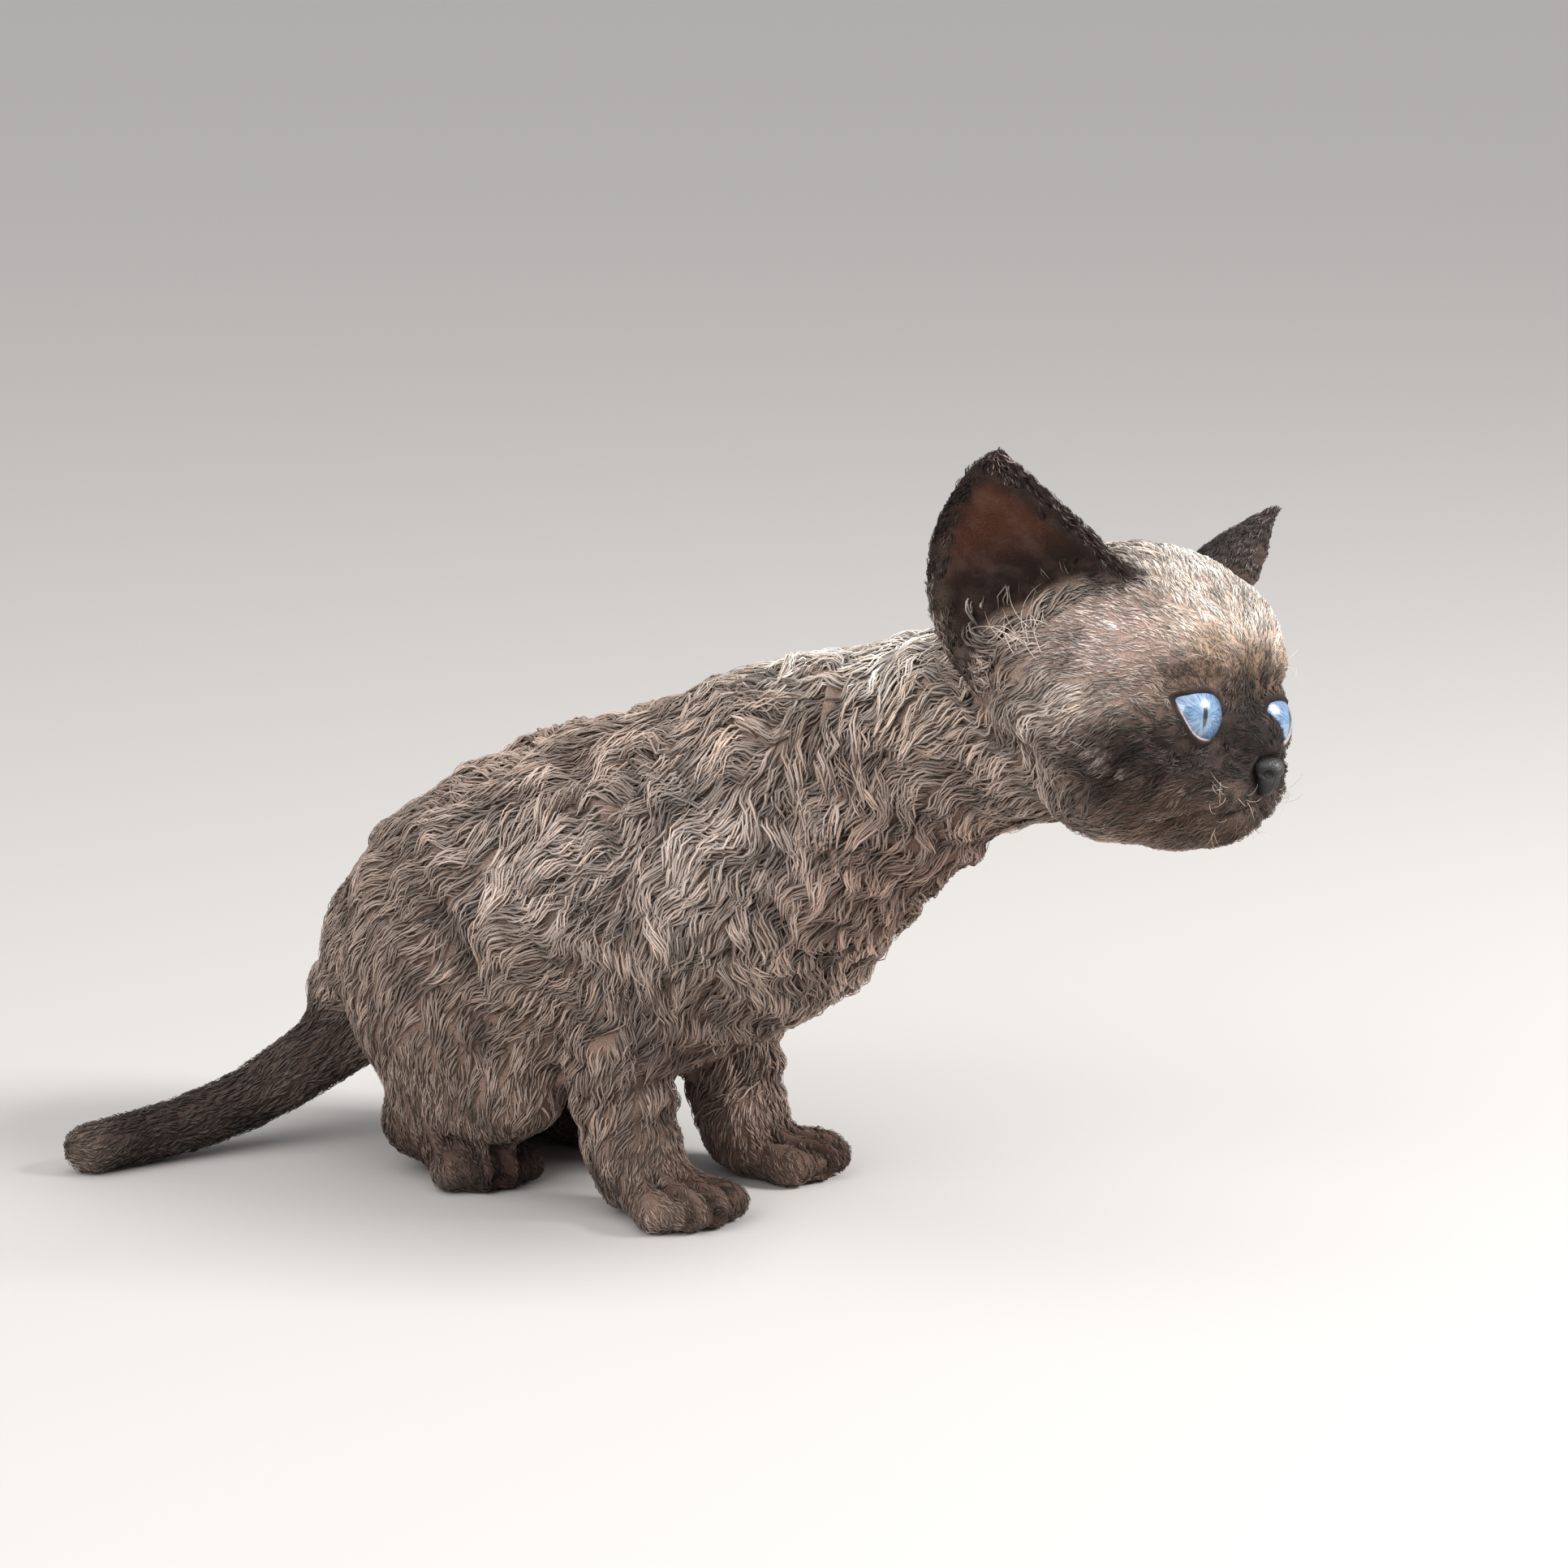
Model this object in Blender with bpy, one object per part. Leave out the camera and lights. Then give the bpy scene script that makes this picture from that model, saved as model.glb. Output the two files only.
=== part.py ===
"""A Devon Rex kitten, about eight weeks old, sitting low with its neck stretched forwards: life-size and still.

+X is forwards, +Y is the kitten's left, +Z is up and the floor is at z = 0. Sizes are in millimetres and
are turned into metres where a mesh is made.
"""

import math
import random

import bmesh
import bpy
import numpy as np
from mathutils import Euler, Matrix, Vector

MM = 0.001
GAP = 0.3
SHARP_ANGLE = 50

# The middle of the finished model's box on the floor, where its origin goes
CENTRE_X = -2.07
CENTRE_Y = -5.7

# How fine the joined flesh is, and then with the head off and the coat on, and how much its creases soften
VOXEL = 1.2
SOFTEN_ROUNDS = 14
PAW_HEIGHT = 15
PAW_SOFTEN_SHARE = 0.25
FLESH_TRIANGLES = 6400
COATED_TRIANGLES = 7000

# Trunk stations from rump to nape: x, z, half width, half height across the spine
TRUNK = [
    (-98, 33, 15, 15),
    (-89, 39, 25.5, 24),
    (-75, 45, 32.5, 32),
    (-57, 51.5, 35, 37.5),
    (-38, 57.5, 34.5, 39),
    (-16, 65, 32, 37),
    (4, 76, 29, 35.5),
    (21, 87, 26, 32),
    (37, 95.5, 23, 27),
    (53, 103, 21, 22.5),
    (72, 109, 20, 20.5),
    (86, 112, 20, 20),
]

# Head: where its middle is, and how it is turned, tipped and leaned
HEAD_AT = (94, -3, 113)
HEAD_YAW = -12
HEAD_PITCH = -5
HEAD_LEAN = -11

# Head masses in the head's own frame: middle, half sizes. A paired one mirrors to the other side
HEAD_MASSES = [
    ((-3, 0, 8), (30, 26.5, 25.5)),
    ((9, 0, 12), (19.5, 20, 17.5)),
    ((22, 0, -12.5), (12.5, 10.5, 9.5)),
    ((22, 0, -22.2), (8.3, 7, 6)),
    ((25.5, 0, -5.5), (11.5, 7, 7.5)),
    ((8, 0, -18), (17, 12.5, 10)),
]
HEAD_PAIRED = [
    ((5, 15, -7), (19, 11, 13)),
    ((4, 11, -15), (19, 11, 12.5)),
    ((25.8, 5.4, -15.6), (8.4, 7, 6.4)),
    ((17, 9, -13), (10.5, 8, 9)),
    ((16.5, 11.5, 8.5), (9, 8.5, 5.5)),
    ((-12, 20.5, 4), (12.5, 9.5, 12.5)),
    ((-22, 17.5, 9), (10, 9.5, 12)),
]

# Eyes: middle of the ball, its radius, how far it looks outwards, and the half sizes of the lids' opening
EYE_AT = (18.2, 11.3, -0.8)
EYE_RADIUS = 7.8
EYE_OUTWARD = 22
LID = 1.6
EYE_HALF_WIDTH = 5.9
EYE_HALF_HEIGHT = 5.0
EYE_SLANT = 18

# Nose leather, as an upper and a lower mass in the head's frame, and the nostrils cut into it
NOSE_MASSES = [
    ((33.6, 0, -10.6), (3.1, 4.4, 2.5)),
    ((33.2, 0, -12.6), (3.0, 2.7, 3.2)),
]
NOSTRIL_AT = (35.8, 2.7, -11.6)
NOSTRIL_SIZE = (1.6, 1.25, 0.8)
NOSTRIL_SLANT = 35

# The groove between the lips, from the right corner to the left, and the one below the nose
LIP_LINE = [(19, 11.5, -20.4), (24, 9.6, -21.2), (28.5, 7, -21.4), (32, 4, -21.2), (34, 1.6, -20.2)]
LIP_MIDDLE = (34.5, 0, -19.2)
PHILTRUM = [(36, 0, -15.4), (35.5, 0, -17.3), (34.5, 0, -19.6)]
LIP_GROOVE = 0.7

# Ears in the head's frame, for the left one: the front edge and the back edge as curves to the tip,
# the way the cup opens, and its depth and wall
EAR_FRONT_EDGE = [(10, 16, 24), (8, 23, 30), (-3, 33, 42), (-6.8, 40.6, 47.2)]
EAR_BACK_EDGE = [(-13, 27, -3), (-39, 29, 5), (-33, 40, 35), (-9, 41, 47.2)]
EAR_OPENS = (0.66, 0.7, -0.27)
EAR_DEPTH = 15
EAR_DEPTH_FALL = 1.25
EAR_WALL = 1.7
EAR_ROWS = 11
EAR_COLUMNS = 12
EAR_ROOT = (-3, 23, 15)
LEFT_EAR_TILT = 10

# The hollow of each ear that goes on into the head: rises up the ear, each with its share of the full width
EAR_PIT = [(0.02, 0.3), (0.1, 0.62), (0.22, 0.88), (0.36, 0.96), (0.55, 0.96)]
EAR_PIT_LIP = 1.5

# Shoulder blades, and forelegs from shoulder to wrist for the left one: x, y, z, half width, half depth
SHOULDER_AT = (6, 15, 76)
SHOULDER_SIZE = (17, 13, 28)
SHOULDER_TILT = -24
FORELEG = [
    (-5, 18, 66, 12, 15),
    (-14, 20, 51, 13, 15),
    (-18, 20.5, 35, 12, 12.6),
    (-16.5, 20.5, 21, 11, 11.6),
    (-13, 20.5, 9, 10.6, 10),
]
FOREPAW_LEFT = ((-6.5, 18.5), 10)
FOREPAW_RIGHT = ((-5, -23.5), -24)
STANCE_SHIFT = -2.5

# Hind legs: the thigh as a tilted egg, then stations from knee to heel for the left one
THIGH_AT = (-61, 21, 38)
THIGH_SIZE = (33, 16, 25)
THIGH_TILT = 22
SHANK = [
    (-43, 23, 25, 12.5, 13),
    (-57, 22, 17, 10.5, 11.5),
    (-71, 19.5, 12, 9, 10),
]
HINDPAW_LEFT = ((-56, 20), 20)
HINDPAW_RIGHT = ((-57.5, -19), -32)
HEEL_BACK = 23

# Paws: the pad's half sizes and the toes: forwards, sideways, half length, half width, half height
PALM = (12.5, 11.5, 5.8)
TOES = [
    (6.5, -8.8, 7.4, 4.5, 5.0),
    (10.4, -3.1, 7.8, 4.3, 5.5),
    (10.4, 3.1, 7.8, 4.3, 5.5),
    (6.5, 8.8, 7.4, 4.5, 5.0),
]
HINDPAW_SCALE = 0.95

# Tail stations from its root: x, y, z, radius
TAIL = [
    (-86, 2, 33, 10.5),
    (-97, -3, 26, 9.4),
    (-106, -12.5, 18, 8.3),
    (-114, -24, 11, 7.2),
    (-120.5, -36, 7.2, 6.5),
    (-125.5, -48, 5.8, 6.1),
    (-129, -60, 5.5, 5.7),
]

# Where the curly coat fades out: round the head, above the paws, and at the tail
COAT_HEAD_CLEAR = (33, 42)
COAT_HAUNCH_CLEAR = (17, 27)
COAT_ELBOW_CLEAR = (42, 54)
COAT_ELBOW_REACH = (-38, -30)
COAT_TAIL_CLEAR = (-99, -93)

# A clump of the coat, as stations along it: share of its length, of its width and of its height.
# Its ends and its underside are sunk into the flesh, which is drawn in to make room for the coat
CLUMP_SHAPE = [(0, 0.35, -0.9), (0.2, 0.85, 0.55), (0.5, 1, 1), (0.8, 0.7, 0.75), (1, 0.25, -0.3)]
CLUMP_SECTION = [(1, -0.8), (0.55, 0.62), (0, 1), (-0.55, 0.62), (-1, -0.8)]
CLUMP_LENGTH = 27
CLUMP_WIDTH = 14
CLUMP_HEIGHT = 2.3
CLUMP_SWAY = 2.8
CLUMP_VARIES = 0.12
CLUMP_SEED = 7
COAT_CORE_DROP = 1.4

# Rows of clumps round the trunk, from the rump to the nape, and how far apart rows and clumps stand
CLUMP_ROWS = (0.5, 9.9)
ROW_STEP = 16.5
CLUMP_STEP = 12
BELLY_BARE = -0.6

# Where the flesh is parted, as boxes with walls GAP thick: the low and high corners in a frame of their own
REACH = 60
HEAD_CUT_AT = (71, 0, 112)
HEAD_CUT_TIP = 16
NECK_CUT_AT = (33, 0, 90)
NECK_CUT_TIP = 30
FORELEG_BOX = ((-33.5, 3.5, -12), (30, 60, 52))
HINDLEG_BOX_LEFT = ((-140, 3.6, -12), (-33.25, 60, 60))
HINDLEG_BOX_RIGHT = ((-140, -1.6, -12), (-33.25, 60, 60))
LEG_BOX_LEAN = -13
TRUNK_CUTS = {"rump": -52, "belly": -12}
TAIL_CUTS = [1.9, 3.4, 4.8]
TAIL_REACH = 40

# The colour, roughness and metal of each node
SEAL = ((0.045, 0.03, 0.022), 0.85, 0)
TAUPE = ((0.29, 0.235, 0.2), 0.85, 0)
CREAM = ((0.5, 0.42, 0.35), 0.85, 0)
BROWN = ((0.16, 0.115, 0.085), 0.85, 0)
BLUE = ((0.2, 0.38, 0.62), 0.08, 0)
BLACK = ((0.012, 0.01, 0.009), 0.45, 0)
COATS = {
    "head": CREAM, "neck": TAUPE, "chest": TAUPE, "belly": TAUPE, "rump": TAUPE,
    "foreleg_left": TAUPE, "foreleg_right": TAUPE, "hindleg_left": BROWN, "hindleg_right": BROWN,
    "tail_base": SEAL, "tail_middle": SEAL, "tail_tip": SEAL, "ear_left": SEAL, "ear_right": SEAL,
    "eye_left": BLUE, "eye_right": BLUE, "nose_leather": BLACK,
}


def mesh_object(name, build):
    """A new object whose mesh is made by build, which fills a bmesh in millimetres."""
    shape = bmesh.new()
    build(shape)
    bmesh.ops.scale(shape, vec=(MM, MM, MM), verts=shape.verts)
    mesh = bpy.data.meshes.new(name)
    shape.to_mesh(mesh)
    shape.free()
    made = bpy.data.objects.new(name, mesh)
    bpy.context.scene.collection.objects.link(made)
    return made


def egg(name, middle, half_sizes, turn=None, fineness=4):
    """A ball stretched to half_sizes, turned, and set at middle."""
    place = Matrix.Translation(Vector(middle))
    if turn is not None:
        place = place @ turn.to_4x4()
    place = place @ Matrix.Diagonal((*half_sizes, 1))
    return mesh_object(
        name, lambda shape: bmesh.ops.create_icosphere(shape, subdivisions=fineness, radius=1, matrix=place)
    )


def smooth_stations(stations, steps=4):
    """Stations with more between them, on a smooth curve through them."""
    rows = np.array(stations, float)
    ends = np.vstack([2 * rows[0] - rows[1], rows, 2 * rows[-1] - rows[-2]])
    places = np.linspace(0, len(rows) - 1, (len(rows) - 1) * steps + 1)
    return np.array([curve_at(ends, place) for place in places])


def curve_at(ends, place):
    """The smooth curve's value at a place counted in stations, where ends has one more at either end."""
    start = min(int(place), len(ends) - 4)
    share = place - start
    before, low, high, after = ends[start : start + 4]
    bend = 2 * before - 5 * low + 4 * high - after
    twist = 3 * low - before - 3 * high + after
    return 0.5 * (2 * low + (high - before) * share + bend * share**2 + twist * share**3)


def limb(name, stations, sides=24, side_axis=(0, 1, 0), steps=4):
    """A closed tube through stations of x, y, z, half width along side_axis and half depth, with round ends."""
    rows = smooth_stations(stations, steps)
    middles = [Vector(row[:3]) for row in rows]

    def build(shape):
        rings = []
        for i, row in enumerate(rows):
            ahead = (middles[min(i + 1, len(rows) - 1)] - middles[max(i - 1, 0)]).normalized()
            side = Vector(side_axis)
            side = (side - ahead * ahead.dot(side)).normalized()
            across = ahead.cross(side)
            ends = {0: [(-0.7, 0.7), (-0.4, 0.9), (0, 1)], len(rows) - 1: [(0, 1), (0.4, 0.9), (0.7, 0.7)]}
            for along, share in ends.get(i, [(0, 1)]):
                middle = middles[i] + ahead * along * min(row[3:5])
                rings.append(ring(shape, middle, side * row[3] * share, across * row[4] * share, sides))
        close_rings(shape, rings)

    return mesh_object(name, build)


def ring(shape, middle, side, across, sides):
    """The points of one ellipse with these half axes."""
    angles = [2 * math.pi * k / sides for k in range(sides)]
    return [shape.verts.new(middle + side * math.cos(a) + across * math.sin(a)) for a in angles]


def close_rings(shape, rings):
    """The faces between rings of as many points, with the first and last ring filled, facing out."""
    for low, high in zip(rings, rings[1:]):
        for k in range(len(low)):
            n = (k + 1) % len(low)
            shape.faces.new((low[k], low[n], high[n], high[k]))
    shape.faces.new(rings[0][::-1])
    shape.faces.new(rings[-1])
    bmesh.ops.recalc_face_normals(shape, faces=shape.faces)


def mirrored(point, side):
    """The same place on the left (side 1) or the right (side -1)."""
    return (point[0], point[1] * side, *point[2:])


def head_matrix():
    """The head's own frame, in millimetres, in the model's."""
    turn = Euler((math.radians(HEAD_LEAN), math.radians(HEAD_PITCH), math.radians(HEAD_YAW)), "XYZ")
    return Matrix.Translation(Vector(HEAD_AT)) @ turn.to_matrix().to_4x4()


def in_head(point):
    """A place given in the head's frame, in the model's."""
    return head_matrix() @ Vector(point)


def head_egg(name, middle, half_sizes, fineness=4, turn=None):
    """An egg given in the head's frame."""
    frame = head_matrix().to_3x3()
    return egg(name, in_head(middle), half_sizes, frame @ turn if turn else frame, fineness)


def trunk_pieces():
    """The trunk and neck as one tube."""
    return [limb("trunk_form", [(x, 0, z, wide, high) for x, z, wide, high in TRUNK], sides=32)]


def head_pieces():
    """The masses of the skull, cheeks, muzzle and chin, with a ball round each eye for its lids."""
    made = [head_egg(f"head_form_{k}", *mass) for k, mass in enumerate(HEAD_MASSES)]
    for side in (1, -1):
        for k, (middle, half) in enumerate(HEAD_PAIRED):
            made.append(head_egg(f"head_pair_{k}", mirrored(middle, side), half))
        made.append(head_egg("lid_form", mirrored(EYE_AT, side), (EYE_RADIUS + LID,) * 3))
    return made


def paw_pieces(place, heading, scale):
    """A palm and four toes on the floor at place, pointing along heading."""
    turn = Matrix.Rotation(math.radians(heading), 3, "Z")
    at = Vector((*place, 0))
    made = [egg("palm", at + Vector((0, 0, PALM[2] * scale - 1.0)), [s * scale for s in PALM], turn)]
    for ahead, aside, *half in TOES:
        middle = at + turn @ Vector((ahead, aside, 0)) * scale + Vector((0, 0, half[2] * scale - 0.9))
        spread = turn @ Matrix.Rotation(math.radians(aside * 1.8), 3, "Z")
        made.append(egg("toe", middle, [s * scale for s in half], spread))
    return made


def foreleg_stations(side):
    """A foreleg's stations, with its foot shifted aside as the kitten stands."""
    top = FORELEG[0][2]
    return [(x, y * side + STANCE_SHIFT * (top - z) / top, z, *half) for x, y, z, *half in FORELEG]


def leg_pieces():
    """All four legs with their paws."""
    made = []
    tilt = Matrix.Rotation(math.radians(THIGH_TILT), 3, "Y")
    lean = Matrix.Rotation(math.radians(SHOULDER_TILT), 3, "Y")
    for side, (fore, fore_heading), (hind, hind_heading) in (
        (1, FOREPAW_LEFT, HINDPAW_LEFT),
        (-1, FOREPAW_RIGHT, HINDPAW_RIGHT),
    ):
        made.append(egg("shoulder_form", mirrored(SHOULDER_AT, side), SHOULDER_SIZE, lean))
        made.append(limb("foreleg_form", foreleg_stations(side)))
        made += paw_pieces(fore, fore_heading, 1)
        made.append(egg("thigh_form", mirrored(THIGH_AT, side), THIGH_SIZE, tilt))
        made.append(limb("shank_form", [mirrored(row, side) for row in SHANK]))
        made += paw_pieces(hind, hind_heading, HINDPAW_SCALE)
        ahead = Matrix.Rotation(math.radians(hind_heading), 3, "Z") @ Vector((1, 0, 0))
        ankle = Vector((*hind, 7.5))
        heel = ankle - ahead * HEEL_BACK
        made.append(limb("foot_form", [(*heel, 8, 7.5), (*((heel + ankle) / 2), 8.6, 7.6), (*ankle, 9, 7.5)]))
    return made


def tail_stations():
    """The tail's stations with both half sizes."""
    return [(x, y, z, r, r) for x, y, z, r in TAIL]


def join(name, pieces):
    """One object that holds the pieces' meshes, in place of them."""
    shape = bmesh.new()
    for piece in pieces:
        shape.from_mesh(piece.data)
        bpy.data.objects.remove(piece)
    mesh = bpy.data.meshes.new(name)
    shape.to_mesh(mesh)
    shape.free()
    made = bpy.data.objects.new(name, mesh)
    bpy.context.scene.collection.objects.link(made)
    return made


def applied(piece):
    """Piece with its modifiers made part of its mesh."""
    graph = bpy.context.evaluated_depsgraph_get()
    mesh = bpy.data.meshes.new_from_object(piece.evaluated_get(graph))
    piece.modifiers.clear()
    piece.data = mesh
    return piece


def fuse(piece, voxel):
    """Piece with its overlapping shells grown into one skin."""
    grow = piece.modifiers.new("grow", "REMESH")
    grow.mode = "VOXEL"
    grow.voxel_size = voxel * MM
    piece.modifiers.new("split", "TRIANGULATE")
    return applied(piece)


def points_of(piece):
    """The places of the piece's points, in millimetres."""
    places = np.empty(len(piece.data.vertices) * 3)
    piece.data.vertices.foreach_get("co", places)
    return places.reshape(-1, 3) / MM


def move_points(piece, places):
    """Puts the piece's points at places given in millimetres."""
    piece.data.vertices.foreach_set("co", (places * MM).ravel())
    piece.data.update()


def soften(piece, rounds, share):
    """Evens the skin: each point moves by its share towards the middle of its neighbours, again and again."""
    edges = np.empty(len(piece.data.edges) * 2, int)
    piece.data.edges.foreach_get("vertices", edges)
    a, b = edges.reshape(-1, 2).T
    places = points_of(piece)
    neighbours = np.bincount(np.concatenate([a, b]), minlength=len(places))[:, None]
    for _ in range(rounds):
        sums = np.zeros_like(places)
        np.add.at(sums, a, places[b])
        np.add.at(sums, b, places[a])
        places += share[:, None] * (sums / neighbours - places)
    move_points(piece, places)


def thin_out(piece, triangles):
    """Piece, which is all triangles, with about as many of them as asked."""
    thin = piece.modifiers.new("thin", "DECIMATE")
    thin.ratio = triangles / len(piece.data.polygons)
    thin.use_collapse_triangulate = True
    return applied(piece)


def boolean(piece, others, operation, solver="EXACT"):
    """Piece after one Boolean with all the others, which are then removed."""
    holder = bpy.data.collections.new("others")
    bpy.context.scene.collection.children.link(holder)
    for other in others:
        holder.objects.link(other)
    step = piece.modifiers.new("step", "BOOLEAN")
    step.operation = operation
    step.operand_type = "COLLECTION"
    step.collection = holder
    step.solver = solver
    applied(piece)
    for other in others:
        bpy.data.objects.remove(other)
    bpy.data.collections.remove(holder)
    return piece


def grown(piece, by):
    """A copy of the piece, larger by this much all round."""
    copy = copy_of(piece)
    step = copy.modifiers.new("grow", "DISPLACE")
    step.strength = by * MM
    step.mid_level = 0
    return applied(copy)


def eye_frame(side):
    """The frame of an eye in the model's: its x axis looks out of the lids, and y runs to the outer corner."""
    outward = Matrix.Rotation(math.radians(EYE_OUTWARD) * side, 4, "Z")
    slant = Matrix.Rotation(math.radians(EYE_SLANT) * side, 4, "X")
    return head_matrix() @ Matrix.Translation(Vector(mirrored(EYE_AT, side))) @ outward @ slant


def lid_opening(side):
    """The almond between the lids, widening outwards from inside the eye."""
    frame = eye_frame(side)

    def build(shape):
        rings = []
        for ahead, share in ((2, 0.85), (EYE_RADIUS, 1), (EYE_RADIUS + 6, 1.45)):
            points = []
            for k in range(20):
                angle = 2 * math.pi * k / 20
                wide = EYE_HALF_WIDTH * math.cos(angle)
                high = EYE_HALF_HEIGHT * math.sin(angle) * abs(math.sin(angle)) ** 0.25
                points.append(shape.verts.new(frame @ Vector((ahead, wide * share, high * share))))
            rings.append(points)
        close_rings(shape, rings)

    return mesh_object("lid_opening", build)


def eye_ball(side):
    """One eye as a ball in its socket."""
    name = "eye_left" if side > 0 else "eye_right"
    return head_egg(name, mirrored(EYE_AT, side), (EYE_RADIUS,) * 3, fineness=3)


def nose_leather():
    """The bare tip of the nose with its two nostrils."""
    made = join("nose_leather", [head_egg("nose_form", *mass) for mass in NOSE_MASSES])
    fuse(made, 0.3)
    soften(made, 4, np.full(len(made.data.vertices), 0.5))
    thin_out(made, 420)
    return made


def nostrils():
    """The two hollows of the nostrils, each slanting outwards and up."""
    made = []
    for side in (1, -1):
        turn = Matrix.Rotation(math.radians(NOSTRIL_SLANT) * side, 3, "X")
        made.append(head_egg("nostril", mirrored(NOSTRIL_AT, side), NOSTRIL_SIZE, 2, turn))
    return made


def groove(name, piece, path, radius):
    """A thin round bar whose middle runs on the skin of the piece, nearest to a path in the head's frame."""
    places = [in_head(point) for point in smooth_stations(path, 3)]
    on_skin = [piece.closest_point_on_mesh(place * MM)[1] / MM for place in places]
    return limb(name, [(*place, radius, radius) for place in on_skin], 6, (0.3, 0.2, 1), 1)


def face_cutters(flesh, nose):
    """All that is cut from the face: room for the eyes between their lids and for the nose, and the lips' line."""
    cutters = [lid_opening(side) for side in (1, -1)]
    for side in (1, -1):
        cutters.append(head_egg("socket", mirrored(EYE_AT, side), (EYE_RADIUS + GAP,) * 3, fineness=3))
    return cutters + [grown(nose, GAP)] + lip_grooves(flesh)


def lip_grooves(flesh):
    """The lines between the lips and below the nose."""
    right = [mirrored(point, -1) for point in LIP_LINE]
    whole = right + [LIP_MIDDLE] + LIP_LINE[::-1]
    return [groove("lip_line", flesh, whole, LIP_GROOVE), groove("philtrum", flesh, PHILTRUM, LIP_GROOVE)]


def bezier(controls, shares):
    """Points on the curve with these four control points."""
    a, b, c, d = (np.array(control, float) for control in controls)
    t = np.array(shares)[:, None]
    return (1 - t) ** 3 * a + 3 * (1 - t) ** 2 * t * b + 3 * (1 - t) * t**2 * c + t**3 * d


def ear_opens():
    """The way that the left ear's cup opens, of length one."""
    return np.array(EAR_OPENS) / np.linalg.norm(EAR_OPENS)


def ear_sheet(rise):
    """Points on the back of the left ear, from its front edge round to its back edge, at each rise up it."""
    front, back = bezier(EAR_FRONT_EDGE, rise), bezier(EAR_BACK_EDGE, rise)
    turn = np.linspace(0, math.pi, EAR_COLUMNS)
    along = ((1 - np.cos(turn)) / 2)[:, None]
    depth = EAR_DEPTH * (1 - rise) ** EAR_DEPTH_FALL + 1
    bow = (depth[:, None] * np.sin(turn))[..., None]
    return front[:, None] * (1 - along) + back[:, None] * along - ear_opens() * bow


def ear_mesh(name, side, loops):
    """A closed solid through loops of points on the left ear, set on the left or right with that ear's tilt."""
    root = Matrix.Translation(Vector(EAR_ROOT))
    lean = Matrix.Rotation(-math.radians(LEFT_EAR_TILT if side > 0 else 0), 4, "X")
    tilt = root @ lean @ root.inverted()

    def build(shape):
        rings = []
        for loop in loops:
            rings.append([shape.verts.new(in_head(mirrored(tilt @ Vector(point), side))) for point in loop])
        close_rings(shape, rings)

    return mesh_object(name, build)


def ear_cup(side):
    """The cup of one ear: a thin wall from its front edge to its back edge, hollow towards the opening."""
    rise = np.linspace(0, 1, EAR_ROWS)
    outer = ear_sheet(rise)
    normal = np.cross(np.gradient(outer, axis=0), np.gradient(outer, axis=1))
    normal /= np.linalg.norm(normal, axis=2)[..., None]
    normal *= np.sign((normal @ ear_opens()).mean())
    turn = np.linspace(0, math.pi, EAR_COLUMNS)
    wall = EAR_WALL * (1 - 0.4 * rise[:, None]) * (0.6 + 0.4 * np.sin(turn))
    inner = outer + normal * wall[..., None]
    loops = [[*back, *front[::-1]] for back, front in zip(outer, inner)]
    return ear_mesh("ear_left" if side > 0 else "ear_right", side, loops)


def ear_pit(side):
    """The part of an ear's hollow that is sunk into the head: the cup's inside, narrowing to its bottom."""
    rises, shares = np.array(EAR_PIT).T
    loops = []
    for row, share in zip(ear_sheet(rises), shares):
        middle = row.mean(axis=0)
        loops.append((row - middle) * share + middle + ear_opens() * EAR_PIT_LIP)
    return ear_mesh("ear_pit", side, loops)


def coat_share(places):
    """How fully the curly coat covers each place: one on the body, none on the face, legs and tail."""
    head = ramp(np.linalg.norm(places - np.array(HEAD_AT), axis=1), *COAT_HEAD_CLEAR)
    fore = ramp(places[:, 0], *COAT_ELBOW_REACH)
    leg = fore * ramp(places[:, 2], *COAT_ELBOW_CLEAR) + (1 - fore) * ramp(places[:, 2], *COAT_HAUNCH_CLEAR)
    tail = np.maximum(ramp(places[:, 0], *COAT_TAIL_CLEAR), ramp(places[:, 2], 34, 42))
    return head * leg * tail


def ramp(values, low, high):
    """Rises smoothly from none at low to one at high."""
    share = np.clip((values - low) / (high - low), 0, 1)
    return share * share * (3 - 2 * share)


def sink_core(flesh):
    """Draws the flesh in under the coat, so that the locks reach the kitten's outline."""
    places = points_of(flesh)
    normals = np.empty(places.size)
    flesh.data.vertex_normals.foreach_get("vector", normals)
    move_points(flesh, places - normals.reshape(-1, 3) * (coat_share(places) * COAT_CORE_DROP)[:, None])


def lie_of_coat(place):
    """The way that the hair runs at a place: back along the trunk, and more downwards on its sides."""
    down = 0.2 + 0.6 * min(1, abs(place.y) / 30) + ramp(-place.z, -48, -20)
    return Vector((-1, 0, -down))


def clump(name, skin, at, draw):
    """One rounded clump of curls along the skin round a place, bending one way and then the other."""
    length, width, height, sway = (
        size * draw.uniform(1 - CLUMP_VARIES, 1 + CLUMP_VARIES)
        for size in (CLUMP_LENGTH, CLUMP_WIDTH, CLUMP_HEIGHT, CLUMP_SWAY)
    )
    normal = skin.closest_point_on_mesh(at * MM)[2]
    lie = lie_of_coat(at)
    lie = (lie - normal * lie.dot(normal)).normalized()
    side = normal.cross(lie)

    def build(shape):
        rings = []
        for along, wide, high in CLUMP_SHAPE:
            bend = side * sway * math.sin(2 * math.pi * along)
            _, middle, out, _ = skin.closest_point_on_mesh((at + lie * (along - 0.5) * length + bend) * MM)
            aside = out.cross(lie).normalized() * width / 2 * wide
            rise = out * height
            rings.append([
                shape.verts.new(middle / MM + aside * across + rise * (up * max(high, 0.6) + min(high, 0)))
                for across, up in CLUMP_SECTION
            ])
        close_rings(shape, rings)

    return mesh_object(name, build)


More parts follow.
